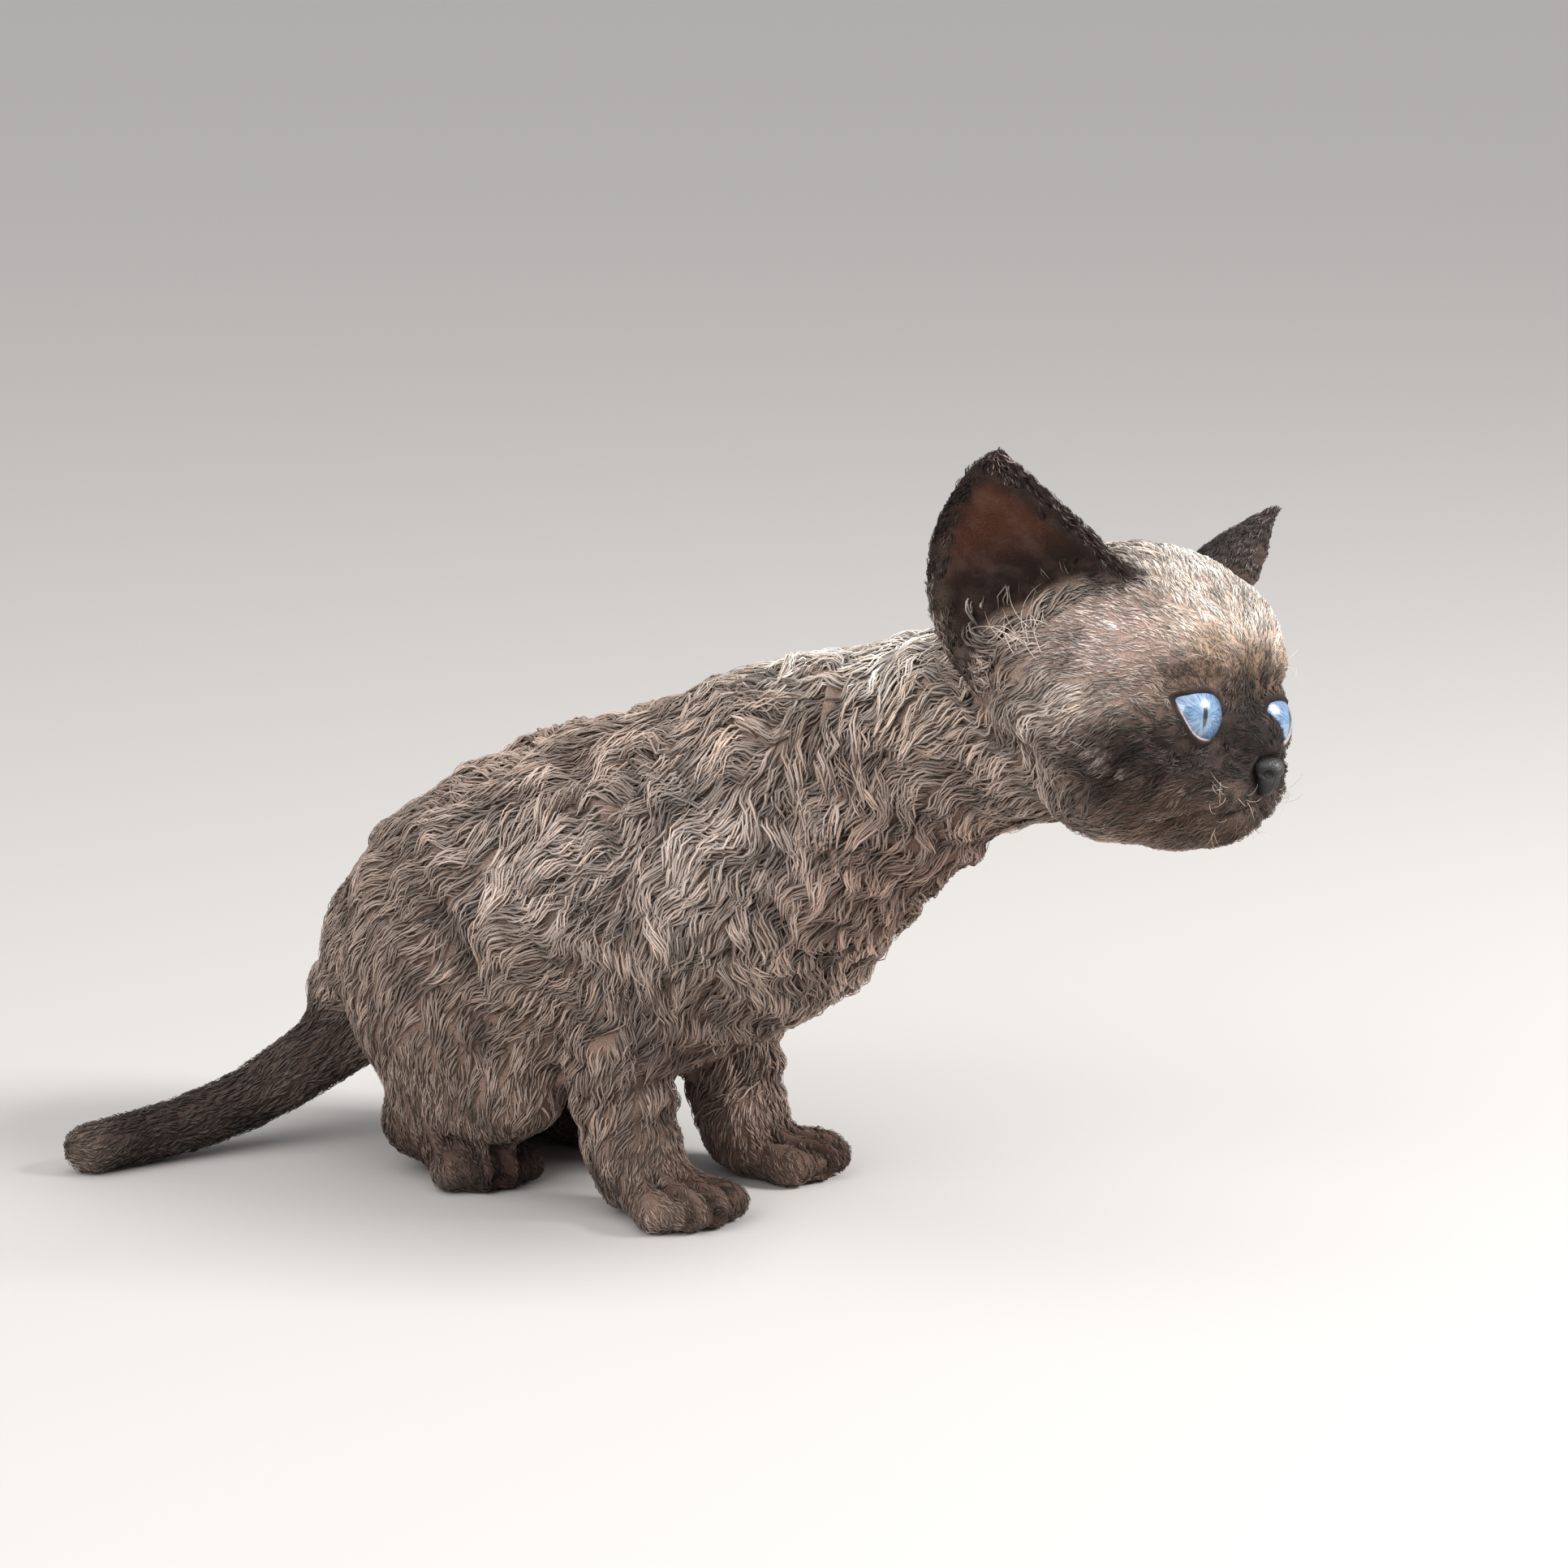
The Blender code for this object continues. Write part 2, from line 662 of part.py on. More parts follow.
def clump_places(skin):
    """Places on the trunk's skin in staggered rows round it."""
    rows = np.array(TRUNK, float)
    ends = np.vstack([2 * rows[0] - rows[1], rows, 2 * rows[-1] - rows[-2]])
    place, last = CLUMP_ROWS
    stagger = 0
    found = []
    while place <= last:
        x, z, wide, high = curve_at(ends, place)
        ahead_x, ahead_z = curve_at(ends, place + 0.1)[:2] - (x, z)
        up = Vector((-ahead_z, 0, ahead_x)).normalized()
        count = round(math.pi * (wide + high) / CLUMP_STEP)
        for k in range(count):
            angle = 2 * math.pi * (k + stagger) / count
            ray = Vector((0, math.cos(angle), 0)) + up * math.sin(angle)
            hit, spot, normal, _ = skin.ray_cast((Vector((x, 0, z)) + ray * REACH) * MM, -ray)
            spot = spot / MM
            if hit and normal.z > BELLY_BARE and coat_share(np.array([spot]))[0] > 0.5:
                found.append(spot)
        place += 0.1 * ROW_STEP / math.hypot(ahead_x, ahead_z)
        stagger = 0.5 - stagger
    return found


def coat_clumps(skin):
    """Every clump of the curly coat, set close over the trunk, the neck and the haunches."""
    draw = random.Random(CLUMP_SEED)
    return [clump("clump", skin, place, draw) for place in clump_places(skin)]


def walled_box(frame, low, high):
    """A box given by its low and high corners in a frame, with walls GAP thick and hollow inside."""
    low, high = Vector(low), Vector(high)
    wall = Vector((GAP, GAP, GAP))

    def build(shape):
        for first, last, hollow in ((low, high, False), (low + wall, high - wall, True)):
            place = frame @ Matrix.Translation((first + last) / 2) @ Matrix.Diagonal((*(last - first), 1))
            made = bmesh.ops.create_cube(shape, size=1, matrix=place)
            if hollow:
                faces = {face for vertex in made["verts"] for face in vertex.link_faces}
                bmesh.ops.reverse_faces(shape, faces=list(faces))

    return mesh_object("parting", build)


def cut_frame(at, tip):
    """A frame at a place on the neck, whose x axis runs forwards and is tipped up by this many degrees."""
    return Matrix.Translation(Vector(at)) @ Matrix.Rotation(-math.radians(tip), 4, "Y")


def tail_frame(place):
    """A frame on the tail at a place counted in stations, whose x axis runs towards the tip."""
    rows = np.array(TAIL)[:, :3]
    ends = np.vstack([2 * rows[0] - rows[1], rows, 2 * rows[-1] - rows[-2]])
    at = Vector(curve_at(ends, place))
    ahead = Vector(curve_at(ends, place + 0.05)) - at
    return Matrix.Translation(at) @ ahead.to_track_quat("X", "Z").to_matrix().to_4x4()


def leg_box(corners, side):
    """The frame and corners of the box that parts a leg from the trunk, on the left or right."""
    (x0, y0, z0), (x1, y1, z1) = corners
    low, high = (x0, min(y0 * side, y1 * side), z0), (x1, max(y0 * side, y1 * side), z1)
    return Matrix.Rotation(math.radians(LEG_BOX_LEAN) * side, 4, "X"), low, high


def partings():
    """Each parted node's box, in the order that a place is looked up: the innermost first."""
    low, high = (0, -TAIL_REACH, -TAIL_REACH), (2 * REACH, TAIL_REACH, TAIL_REACH)
    tail_boxes = [(tail_frame(cut), low, high) for cut in TAIL_CUTS]
    return {
        "head": (cut_frame(HEAD_CUT_AT, HEAD_CUT_TIP), (0, -REACH, -REACH), (2 * REACH, REACH, REACH)),
        "neck": (cut_frame(NECK_CUT_AT, NECK_CUT_TIP), (0, -REACH, -REACH), (3 * REACH, REACH, 2 * REACH)),
        "foreleg_left": leg_box(FORELEG_BOX, 1),
        "foreleg_right": leg_box(FORELEG_BOX, -1),
        "tail_tip": tail_boxes[2],
        "tail_middle": tail_boxes[1],
        "tail_base": tail_boxes[0],
        "hindleg_left": leg_box(HINDLEG_BOX_LEFT, 1),
        "hindleg_right": leg_box(HINDLEG_BOX_RIGHT, -1),
    }


def trunk_boxes():
    """The boxes that part the rump, and then the belly, from the trunk without its legs."""
    far = 3 * REACH
    return {name: (Matrix(), (-far, -REACH, -REACH), (x, REACH, far)) for name, x in TRUNK_CUTS.items()}


def floor_block():
    """Everything below the floor."""
    place = Matrix.Translation((0, 0, -20)) @ Matrix.Diagonal((500, 500, 40, 1))
    return mesh_object("below_floor", lambda shape: bmesh.ops.create_cube(shape, size=1, matrix=place))


def islands(piece):
    """The piece's separate surfaces, as lists of bmesh faces, with the bmesh that holds them."""
    shape = bmesh.new()
    shape.from_mesh(piece.data)
    bmesh.ops.triangulate(shape, faces=shape.faces)
    left = set(shape.faces)
    found = []
    while left:
        stack = [left.pop()]
        whole = []
        while stack:
            face = stack.pop()
            whole.append(face)
            for edge in face.edges:
                for other in edge.link_faces:
                    if other in left:
                        left.remove(other)
                        stack.append(other)
        found.append(whole)
    return shape, found


def volume(faces):
    """The volume that faces enclose, in cubic metres."""
    return sum(f.verts[0].co.dot(f.verts[1].co.cross(f.verts[2].co)) for f in faces) / 6


def object_of(name, faces):
    """A new object of these triangles alone."""
    index = {}
    corners = [[index.setdefault(vertex, len(index)) for vertex in face.verts] for face in faces]
    mesh = bpy.data.meshes.new(name)
    mesh.from_pydata([vertex.co[:] for vertex in index], [], corners)
    made = bpy.data.objects.new(name, mesh)
    bpy.context.scene.collection.objects.link(made)
    return made


def keep_largest(piece):
    """Piece with only its largest closed surface, so that no scrap and no sealed hollow is left."""
    shape, found = islands(piece)
    best = object_of("largest", max(found, key=volume))
    shape.free()
    piece.data = best.data
    bpy.data.objects.remove(best)
    return piece


def part_flesh(flesh, boxes, rest):
    """Parts the flesh into nodes, each the largest surface in its box, with one named rest outside all boxes."""
    boolean(flesh, [walled_box(*box) for box in boxes.values()] + [floor_block()], "DIFFERENCE")
    shape, found = islands(flesh)
    best = {}
    for faces in sorted(found, key=volume):
        middle = sum((face.calc_center_median() for face in faces), Vector()) / len(faces) / MM
        best[box_round(middle, boxes) or rest] = faces
    made = {name: object_of(name, faces) for name, faces in best.items()}
    shape.free()
    bpy.data.objects.remove(flesh)
    return made


def box_round(place, boxes):
    """The name of the first box that holds a place, if any does."""
    for name, (frame, low, high) in boxes.items():
        inside = frame.inverted() @ place
        if all(a < value < b for a, value, b in zip(low, inside, high)):
            return name
    return None


def copy_of(piece):
    """A second object with a mesh of its own."""
    copy = bpy.data.objects.new(piece.name + "_copy", piece.data.copy())
    bpy.context.scene.collection.objects.link(copy)
    return copy


def coated(flesh, head_box):
    """The flesh without its head and with its coat of clumps."""
    body = boolean(copy_of(flesh), coat_clumps(flesh), "UNION")
    boolean(body, [walled_box(*head_box)], "DIFFERENCE")
    keep_largest(body)
    return thin_out(body, COATED_TRIANGLES)


def dress(piece, colour, roughness, metallic):
    """Gives the piece a finish of its own, and smooth shading where it is round."""
    finish = bpy.data.materials.new(piece.name + "_finish")
    finish.use_nodes = True
    shader = finish.node_tree.nodes["Principled BSDF"]
    shader.inputs["Base Color"].default_value = (*colour, 1)
    shader.inputs["Roughness"].default_value = roughness
    shader.inputs["Metallic"].default_value = metallic
    piece.data.materials.clear()
    piece.data.materials.append(finish)
    piece.data.shade_smooth()
    piece.data.set_sharp_from_angle(angle=math.radians(SHARP_ANGLE))


def main():
    for old in list(bpy.data.objects):
        bpy.data.objects.remove(old)
    tail = limb("tail_form", tail_stations(), side_axis=(0, 0, 1))
    flesh = join("flesh", trunk_pieces() + head_pieces() + leg_pieces() + [tail])
    fuse(flesh, VOXEL)
    low = points_of(flesh)[:, 2] < PAW_HEIGHT
    soften(flesh, SOFTEN_ROUNDS, np.where(low, PAW_SOFTEN_SHARE, 1) * 0.5)
    sink_core(flesh)
    thin_out(flesh, FLESH_TRIANGLES)
    boxes = partings()
    head_box = boxes.pop("head")
    body = coated(flesh, head_box)
    ears = [keep_largest(boolean(ear_cup(side), [grown(flesh, GAP)], "DIFFERENCE")) for side in (1, -1)]
    for side in (1, -1):
        eye_ball(side)
    nose = nose_leather()
    boolean(body, [grown(ear, GAP) for ear in ears] + [ear_pit(side) for side in (1, -1)], "DIFFERENCE")
    boolean(flesh, face_cutters(flesh, nose) + [ear_pit(side) for side in (1, -1)], "DIFFERENCE")
    boolean(nose, nostrils(), "DIFFERENCE")
    bpy.data.objects.remove(part_flesh(flesh, {"head": head_box}, "bare_body")["bare_body"])
    torso = part_flesh(body, boxes, "torso")["torso"]
    part_flesh(torso, trunk_boxes(), "chest")
    for piece in bpy.data.objects:
        piece.data.transform(Matrix.Translation((-CENTRE_X * MM, -CENTRE_Y * MM, 0)))
        dress(piece, *COATS[piece.name])


main()
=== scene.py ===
"""The looks of a seal point Devon Rex kitten: one skin under a curled coat, with wet eyes and a bare nose.

Lengths are in millimetres until a mesh is made. The body's places are given on its left side with y = 0 in
its middle, and the head's in a frame of its own, so that both mirror to the other side.
"""

import logging
import math
from dataclasses import dataclass, field
from enum import Enum
from typing import Any, Callable, Sequence

import bpy
import numpy as np
from mathutils import Euler, Matrix, Vector
from mathutils.bvhtree import BVHTree
from mathutils.kdtree import KDTree


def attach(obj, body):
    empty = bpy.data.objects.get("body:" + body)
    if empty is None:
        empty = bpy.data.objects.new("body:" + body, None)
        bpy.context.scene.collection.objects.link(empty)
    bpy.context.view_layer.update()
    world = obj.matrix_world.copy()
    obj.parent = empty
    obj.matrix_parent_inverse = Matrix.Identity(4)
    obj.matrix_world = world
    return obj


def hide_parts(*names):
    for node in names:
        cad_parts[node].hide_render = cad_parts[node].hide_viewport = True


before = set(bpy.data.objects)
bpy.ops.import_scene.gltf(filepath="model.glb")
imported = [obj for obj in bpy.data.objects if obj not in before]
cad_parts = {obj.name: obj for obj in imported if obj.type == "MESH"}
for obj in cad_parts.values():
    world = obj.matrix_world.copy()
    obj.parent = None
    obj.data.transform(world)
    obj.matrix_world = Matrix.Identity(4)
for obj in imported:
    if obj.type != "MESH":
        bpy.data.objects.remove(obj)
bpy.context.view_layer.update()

log = logging.getLogger("kitten")

MM = 0.001
MARKINGS = "Markings"
STRAND = "Strand"
BAKE_MAP = "OFBake"
BAKE_PATCH = 0.003
MOST_TRIANGLES = 190000

Array = np.ndarray
Draw = np.random.Generator
Material = bpy.types.Material
Piece = bpy.types.Object
Socket = bpy.types.NodeSocket
Colour = tuple[float, float, float]
Place = tuple[float, float, float]
Share = Callable[[Array, Array], Array]


def paint(red: float, green: float, blue: float) -> Colour:
    """A linear colour from its display values, each from 0 to 255."""
    shares = [value / 255 for value in (red, green, blue)]
    return tuple(s / 12.92 if s <= 0.04045 else ((s + 0.055) / 1.055) ** 2.4 for s in shares)


def ramp(values: Array, low: float, high: float) -> Array:
    """Rises smoothly from none at low to one at high."""
    share = np.clip((values - low) / (high - low), 0, 1)
    return share * share * (3 - 2 * share)


def spans(vectors: Array) -> Array:
    """The length of each vector."""
    return np.linalg.norm(vectors, axis=-1)


def unit(vectors: Array) -> Array:
    """The vectors, each of length one."""
    return vectors / np.maximum(np.linalg.norm(vectors, axis=-1, keepdims=True), 1e-9)


def uneven(places: Array, step: float, seed: int) -> Array:
    """Soft random heights that change over about this distance.

    Args:
        places: where to look.
        step: the distance.
        seed: for the random draws.

    Returns:
        A height for each place, from about -1 to 1.
    """
    draw = np.random.default_rng(seed)
    total = np.zeros(len(places))
    for _ in range(9):
        knob = unit(draw.normal(size=3)) * math.tau / (step * draw.uniform(0.7, 1.6))
        total += np.sin(places @ knob + draw.uniform(0, math.tau))
    return total / 3


def flat_on(vectors: Array, normals: Array) -> Array:
    """The vectors laid flat on surfaces with these normals, each of length one."""
    return unit(vectors - normals * (vectors * normals).sum(axis=-1, keepdims=True))


def turned(ways: Array, normals: Array, angle: Array) -> Array:
    """Directions along a surface, turned round its normals by an angle in radians."""
    return ways * np.cos(angle) + np.cross(normals, ways) * np.sin(angle)


def blend(under: Array, over: Any, share: Array) -> Array:
    """What lies under, with as much of the other laid over it as this share."""
    return under * (1 - share) + np.array(over) * share


def mirrored(place: Any, side: int) -> Array:
    """A place or a direction given for the left, on this side."""
    return np.array(place, float) * (1, side, 1)


def sides(aside: Any) -> tuple[int, ...]:
    """Left and right for what lies aside, and one side alone for what is in the middle."""
    return (1, -1) if aside else (1,)


@dataclass(frozen=True)
class Build:
    """Where the kitten's body and head lie in the model's frame.

    Attributes:
        shift: from the body's own middle to the model's origin.
        head_at: the middle of the head.
        head_turn: how the head leans, tips and turns, in degrees.
    """

    shift: Place = (2.07, 5.7, 0)
    head_at: Place = (94, -3, 113)
    head_turn: Place = (-11, -5, -12)

    def head_matrix(self) -> Matrix:
        """The head's own frame in the model's."""
        turn = Euler([math.radians(angle) for angle in self.head_turn], "XYZ").to_matrix().to_4x4()
        return Matrix.Translation(Vector(self.head_at) + Vector(self.shift)) @ turn

    def from_head(self, places: Array) -> Array:
        """Places of the head's frame, in the model's."""
        matrix = np.array(self.head_matrix())
        return np.asarray(places, float) @ matrix[:3, :3].T + matrix[:3, 3]

    def ways_from_head(self, ways: Array) -> Array:
        """Directions of the head's frame, in the model's."""
        return np.asarray(ways, float) @ np.array(self.head_matrix())[:3, :3].T

    def to_head(self, places: Array) -> Array:
        """Places of the model's frame, in the head's."""
        matrix = np.array(self.head_matrix().inverted())
        return places @ matrix[:3, :3].T + matrix[:3, 3]

    def to_body(self, places: Array) -> Array:
        """Places of the model's frame, from the body's own middle."""
        return places - np.array(self.shift)

    def from_body(self, places: Array) -> Array:
        """Places given from the body's own middle, in the model's frame."""
        return np.asarray(places, float) + np.array(self.shift)


KITTEN = Build()


class Part(Enum):
    """Which frame a place is given in."""

    BODY = "body"
    HEAD = "head"


def both_sides(part: Part, place: Place, way: Place = (0, 0, 0)) -> list[tuple[Array, Array]]:
    """A place and a direction on the left, and again on the right unless it is in the middle.

    Args:
        part: the frame that they are given in.
        place: the place on the left.
        way: the direction there.

    Returns:
        Pairs of place and direction in the model's frame.
    """
    found = []
    for side in sides(place[1]):
        spot, aim = mirrored(place, side), mirrored(way, side)
        if part is Part.HEAD:
            found.append((KITTEN.from_head(spot), KITTEN.ways_from_head(aim)))
        else:
            found.append((KITTEN.from_body(spot), aim))
    return found


class Number:
    """A socket that holds one number, on which Python's operators add Math nodes."""

    def __init__(self, graph: "Graph", socket: Socket) -> None:
        """Keeps the socket and the graph that it is in."""
        self.graph = graph
        self.socket = socket

    def math(self, operation: str, *others: Any, swap: bool = False) -> "Number":
        """A Math node on this number and others.

        Args:
            operation: the node's operation.
            others: more numbers or plain values.
            swap: whether this number comes second.

        Returns:
            The node's result.
        """
        values = [self, *others]
        if swap:
            values.reverse()
        node = self.graph.add("ShaderNodeMath", {"operation": operation}, dict(enumerate(values)))
        return Number(self.graph, node.outputs[0])

    def __add__(self, other: Any) -> "Number":
        """Their sum."""
        return self.math("ADD", other)

    def __sub__(self, other: Any) -> "Number":
        """Their difference."""
        return self.math("SUBTRACT", other)

    def __rsub__(self, other: Any) -> "Number":
        """Their difference, the other way round."""
        return self.math("SUBTRACT", other, swap=True)

    def __mul__(self, other: Any) -> "Number":
        """Their product."""
        return self.math("MULTIPLY", other)

    def __truediv__(self, other: Any) -> "Number":
        """Their quotient."""
        return self.math("DIVIDE", other)

    def __pow__(self, other: Any) -> "Number":
        """This number to a power."""
        return self.math("POWER", other)

    __radd__ = __add__
    __rmul__ = __mul__

    def rise(self, low: float, high: float) -> "Number":
        """Rises smoothly with this number.

        Args:
            low: where it is none.
            high: where it is one.

        Returns:
            How far it has risen.
        """
        settings = {"interpolation_type": "SMOOTHSTEP"}
        node = self.graph.add("ShaderNodeMapRange", settings, {0: self, 1: low, 2: high})
        return Number(self.graph, node.outputs[0])


class Graph:
    """The nodes of one material, round its Principled shader."""

    def __init__(self, name: str) -> None:
        """Makes a material.

        Args:
            name: its name.
        """
        self.material = bpy.data.materials.new(name)
        self.material.use_nodes = True
        self.tree = self.material.node_tree
        self.shader = self.tree.nodes["Principled BSDF"]

    def add(self, kind: str, settings: dict[str, Any], inputs: dict[Any, Any]) -> bpy.types.Node:
        """Adds one node.

        Args:
            kind: the node's type.
            settings: its own settings, set before its sockets.
            inputs: a value or a link for each named or numbered socket.

        Returns:
            The node.
        """
        node = self.tree.nodes.new(kind)
        for name, value in settings.items():
            setattr(node, name, value)
        for key, value in inputs.items():
            self.plug(node.inputs[key], value)
        return node

    def plug(self, socket: Socket, value: Any) -> None:
        """Links a socket, or sets it.

        Args:
            socket: the input.
            value: a socket or number to link it to, or a plain value.
        """
        source = value.socket if isinstance(value, Number) else value
        if isinstance(source, Socket):
            self.tree.links.new(source, socket)
        elif socket.type == "RGBA" and len(source) == 3:
            socket.default_value = (*source, 1)
        else:
            socket.default_value = source

    def shade(self, **inputs: Any) -> None:
        """Sets the shader's sockets, named with underscores for spaces."""
        for name, value in inputs.items():
            self.plug(self.shader.inputs[name.replace("_", " ").title()], value)

    def place(self) -> Socket:
        """Where the shaded point lies in its object."""
        return self.add("ShaderNodeTexCoord", {}, {}).outputs["Object"]

    def carried(self, name: str, output: int) -> Socket:
        """What the piece's points carry under this name, as a colour (0) or as a vector (1)."""
        settings = {"attribute_type": "GEOMETRY", "attribute_name": name}
        return self.add("ShaderNodeAttribute", settings, {}).outputs[output]

    def noise(self, scale: float, detail: float = 3, at: Any = None) -> Number:
        """Soft noise with about this many waves to the metre."""
        inputs = {"Vector": at or self.place(), "Scale": scale, "Detail": detail}
        return Number(self, self.add("ShaderNodeTexNoise", {}, inputs).outputs[0])

    def mix(self, share: Any, first: Any, second: Any, blend: str = "MIX") -> Socket:
        """Two colours blended.

        Args:
            share: how much of the blend shows, from none to one.
            first: the colour underneath.
            second: the colour blended in.
            blend: how they blend.

        Returns:
            The blended colour.
        """
        settings = {"data_type": "RGBA", "blend_type": blend}
        node = self.add("ShaderNodeMix", settings, {0: share, 6: first, 7: second})
        return node.outputs[2]

    def bump(self, height: Any, strength: float, distance: float) -> Socket:
        """A normal roughened by a height, which is raised by a distance in metres."""
        inputs = {"Height": height, "Strength": strength, "Distance": distance}
        return self.add("ShaderNodeBump", {}, inputs).outputs[0]

    def markings(self) -> Socket:
        """The colour that the piece's points carry."""
        return self.carried(MARKINGS, 0)


@dataclass(frozen=True)
class SkinFinish:
    """Thin skin under the coat, with the coat's own markings in its down.

    Attributes:
        down_waves: waves of the down to the metre.
        depth: how far the down roughens the skin, in metres.
    """

    down_waves: float = 2600
    depth: float = 0.0004

    def material(self) -> Material:
        """Makes the nodes.

        Returns:
            The skin's material.
        """
        graph = Graph("skin_down")
        down = graph.noise(self.down_waves, 4)
        mottle = graph.noise(240, 3)
        colour = graph.mix(down.rise(0.35, 0.7) * 0.45, graph.markings(), (0.1, 0.07, 0.055), "MULTIPLY")
        colour = graph.mix(mottle.rise(0.4, 0.75) * 0.08, colour, paint(176, 140, 126), "MIX")
        graph.shade(base_color=colour, roughness=0.85, normal=graph.bump(down, 0.7, self.depth))
        graph.shader.inputs["Specular IOR Level"].default_value = 0.3
        return graph.material


@dataclass(frozen=True)
class CoatFinish:
    """Tufts of hair that carry their markings in their points, each split into finer hairs along its length.

    Attributes:
        name: the finish's own name.
        hairs: how many hairs show across a tuft.
        contrast: how much darker it is between them, as painted shade between the hairs.
        roughness: how dull the hair is.
        sheen: how much light its edges catch.
    """

    name: str
    hairs: float = 0
    contrast: float = 0.4
    roughness: float = 0.62
    sheen: float = 0.05

    def material(self) -> Material:
        """Makes the nodes.

        Returns:
            The hair's material.
        """
        graph = Graph(self.name)
        inputs = {0: graph.carried(STRAND, 1), 1: (self.hairs, 1.1, 1)}
        spread = graph.add("ShaderNodeVectorMath", {"operation": "MULTIPLY"}, inputs)
        streak = graph.noise(1, 2, spread.outputs[0])
        # Darker streaks between the hairs of a tuft: painted shade in the gaps.
        share = streak.rise(0.38, 0.62) * self.contrast
        colour = graph.mix(share, graph.markings(), (0.34, 0.31, 0.3), "MULTIPLY")
        graph.shade(
            base_color=colour, roughness=self.roughness, sheen_weight=self.sheen,
            normal=graph.bump(streak, 0.5, 0.00012),
        )
        graph.shader.inputs["Sheen Roughness"].default_value = 0.35
        graph.shader.inputs["Specular IOR Level"].default_value = 0.35
        return graph.material


@dataclass(frozen=True)
class IrisFinish:
    """A wet eye that looks along its own x axis: slit pupil, fibred blue iris and dark rim.

    Attributes:
        iris: radius of the iris.
        pupil_wide: half width of the pupil.
        pupil_high: half height of the pupil.
    """

    iris: float = 5.9
    pupil_wide: float = 0.5
    pupil_high: float = 2.35

    def material(self) -> Material:
        """Makes the nodes.

        Returns:
            The eye's material.
        """
        graph = Graph("wet_eye")
        split = graph.add("ShaderNodeSeparateXYZ", {}, {0: graph.place()})
        aside = Number(graph, split.outputs[1]) / MM
        up = Number(graph, split.outputs[2]) / MM
        reach = (aside * aside + up * up) ** 0.5
        angle = up.math("ARCTAN2", aside)
        ray = graph.add("ShaderNodeCombineXYZ", {}, {0: angle * 9, 1: reach * 0.45, 2: 0.5})
        fibre = graph.noise(1.6, 5, ray.outputs[0])
        fine = graph.noise(5.5, 3, ray.outputs[0])
        blue = graph.mix(fibre.rise(0.34, 0.66), paint(66, 90, 120), paint(116, 145, 174))
        blue = graph.mix(fine.rise(0.55, 0.75) * 0.3, blue, paint(160, 188, 216))
        blue = graph.mix(reach.rise(3.6, self.iris - 0.1) * 0.55, blue, paint(44, 70, 108))
        blue = graph.mix((1 - reach.rise(0.6, 2.6)) * 0.3, blue, paint(92, 128, 160))
        white = graph.mix(reach.rise(self.iris - 0.35, self.iris + 0.1), blue, paint(34, 30, 36))
        white = graph.mix(reach.rise(self.iris + 0.05, self.iris + 0.5), white, paint(150, 138, 138))
        narrow = (up / self.pupil_high) ** 2
        slit = (aside / self.pupil_wide) ** 2 + narrow
        colour = graph.mix(1 - slit.rise(0.75, 1.25), white, (0.002, 0.002, 0.003))
        normal = graph.bump(fibre, 0.25, 0.00012)
        graph.shade(base_color=colour, roughness=0.28, normal=normal, coat_weight=1.0, coat_roughness=0.015)
        graph.shader.inputs["Coat IOR"].default_value = 1.7
        return graph.material


@dataclass(frozen=True)
class NoseFinish:
    """Bare pebbled skin of the nose.

    Attributes:
        colour: its colour.
        pebbles: grain of the skin to the metre.
        roughness: how dull it is.
    """

    colour: Colour = paint(18, 15, 15)
    pebbles: float = 3800
    roughness: float = 0.42

    def material(self) -> Material:
        """Makes the nodes.

        Returns:
            The bare skin's material.
        """
        graph = Graph("nose_leather")
        grain = graph.noise(900, 2)
        colour = graph.mix(grain.rise(0.4, 0.7) * 0.5, self.colour, [value * 1.7 for value in self.colour])
        graph.shade(base_color=colour, roughness=self.roughness, coat_weight=0.2, coat_roughness=0.35)
        inputs = {"Vector": graph.place(), "Scale": self.pebbles}
        cells = graph.add("ShaderNodeTexVoronoi", {"feature": "F1"}, inputs)
        height = 1 - Number(graph, cells.outputs[0])
        graph.shade(normal=graph.bump(height, 0.6, 0.00022))
        return graph.material


@dataclass(frozen=True)
class FloorFinish:
    """A plain pale floor of one colour."""

    colour: Colour = (0.46, 0.445, 0.43)

    def material(self) -> Material:
        """Makes the nodes.

        Returns:
            The floor's material.
        """
        graph = Graph("pale_floor")
        graph.shade(base_color=self.colour, roughness=0.7)
        return graph.material


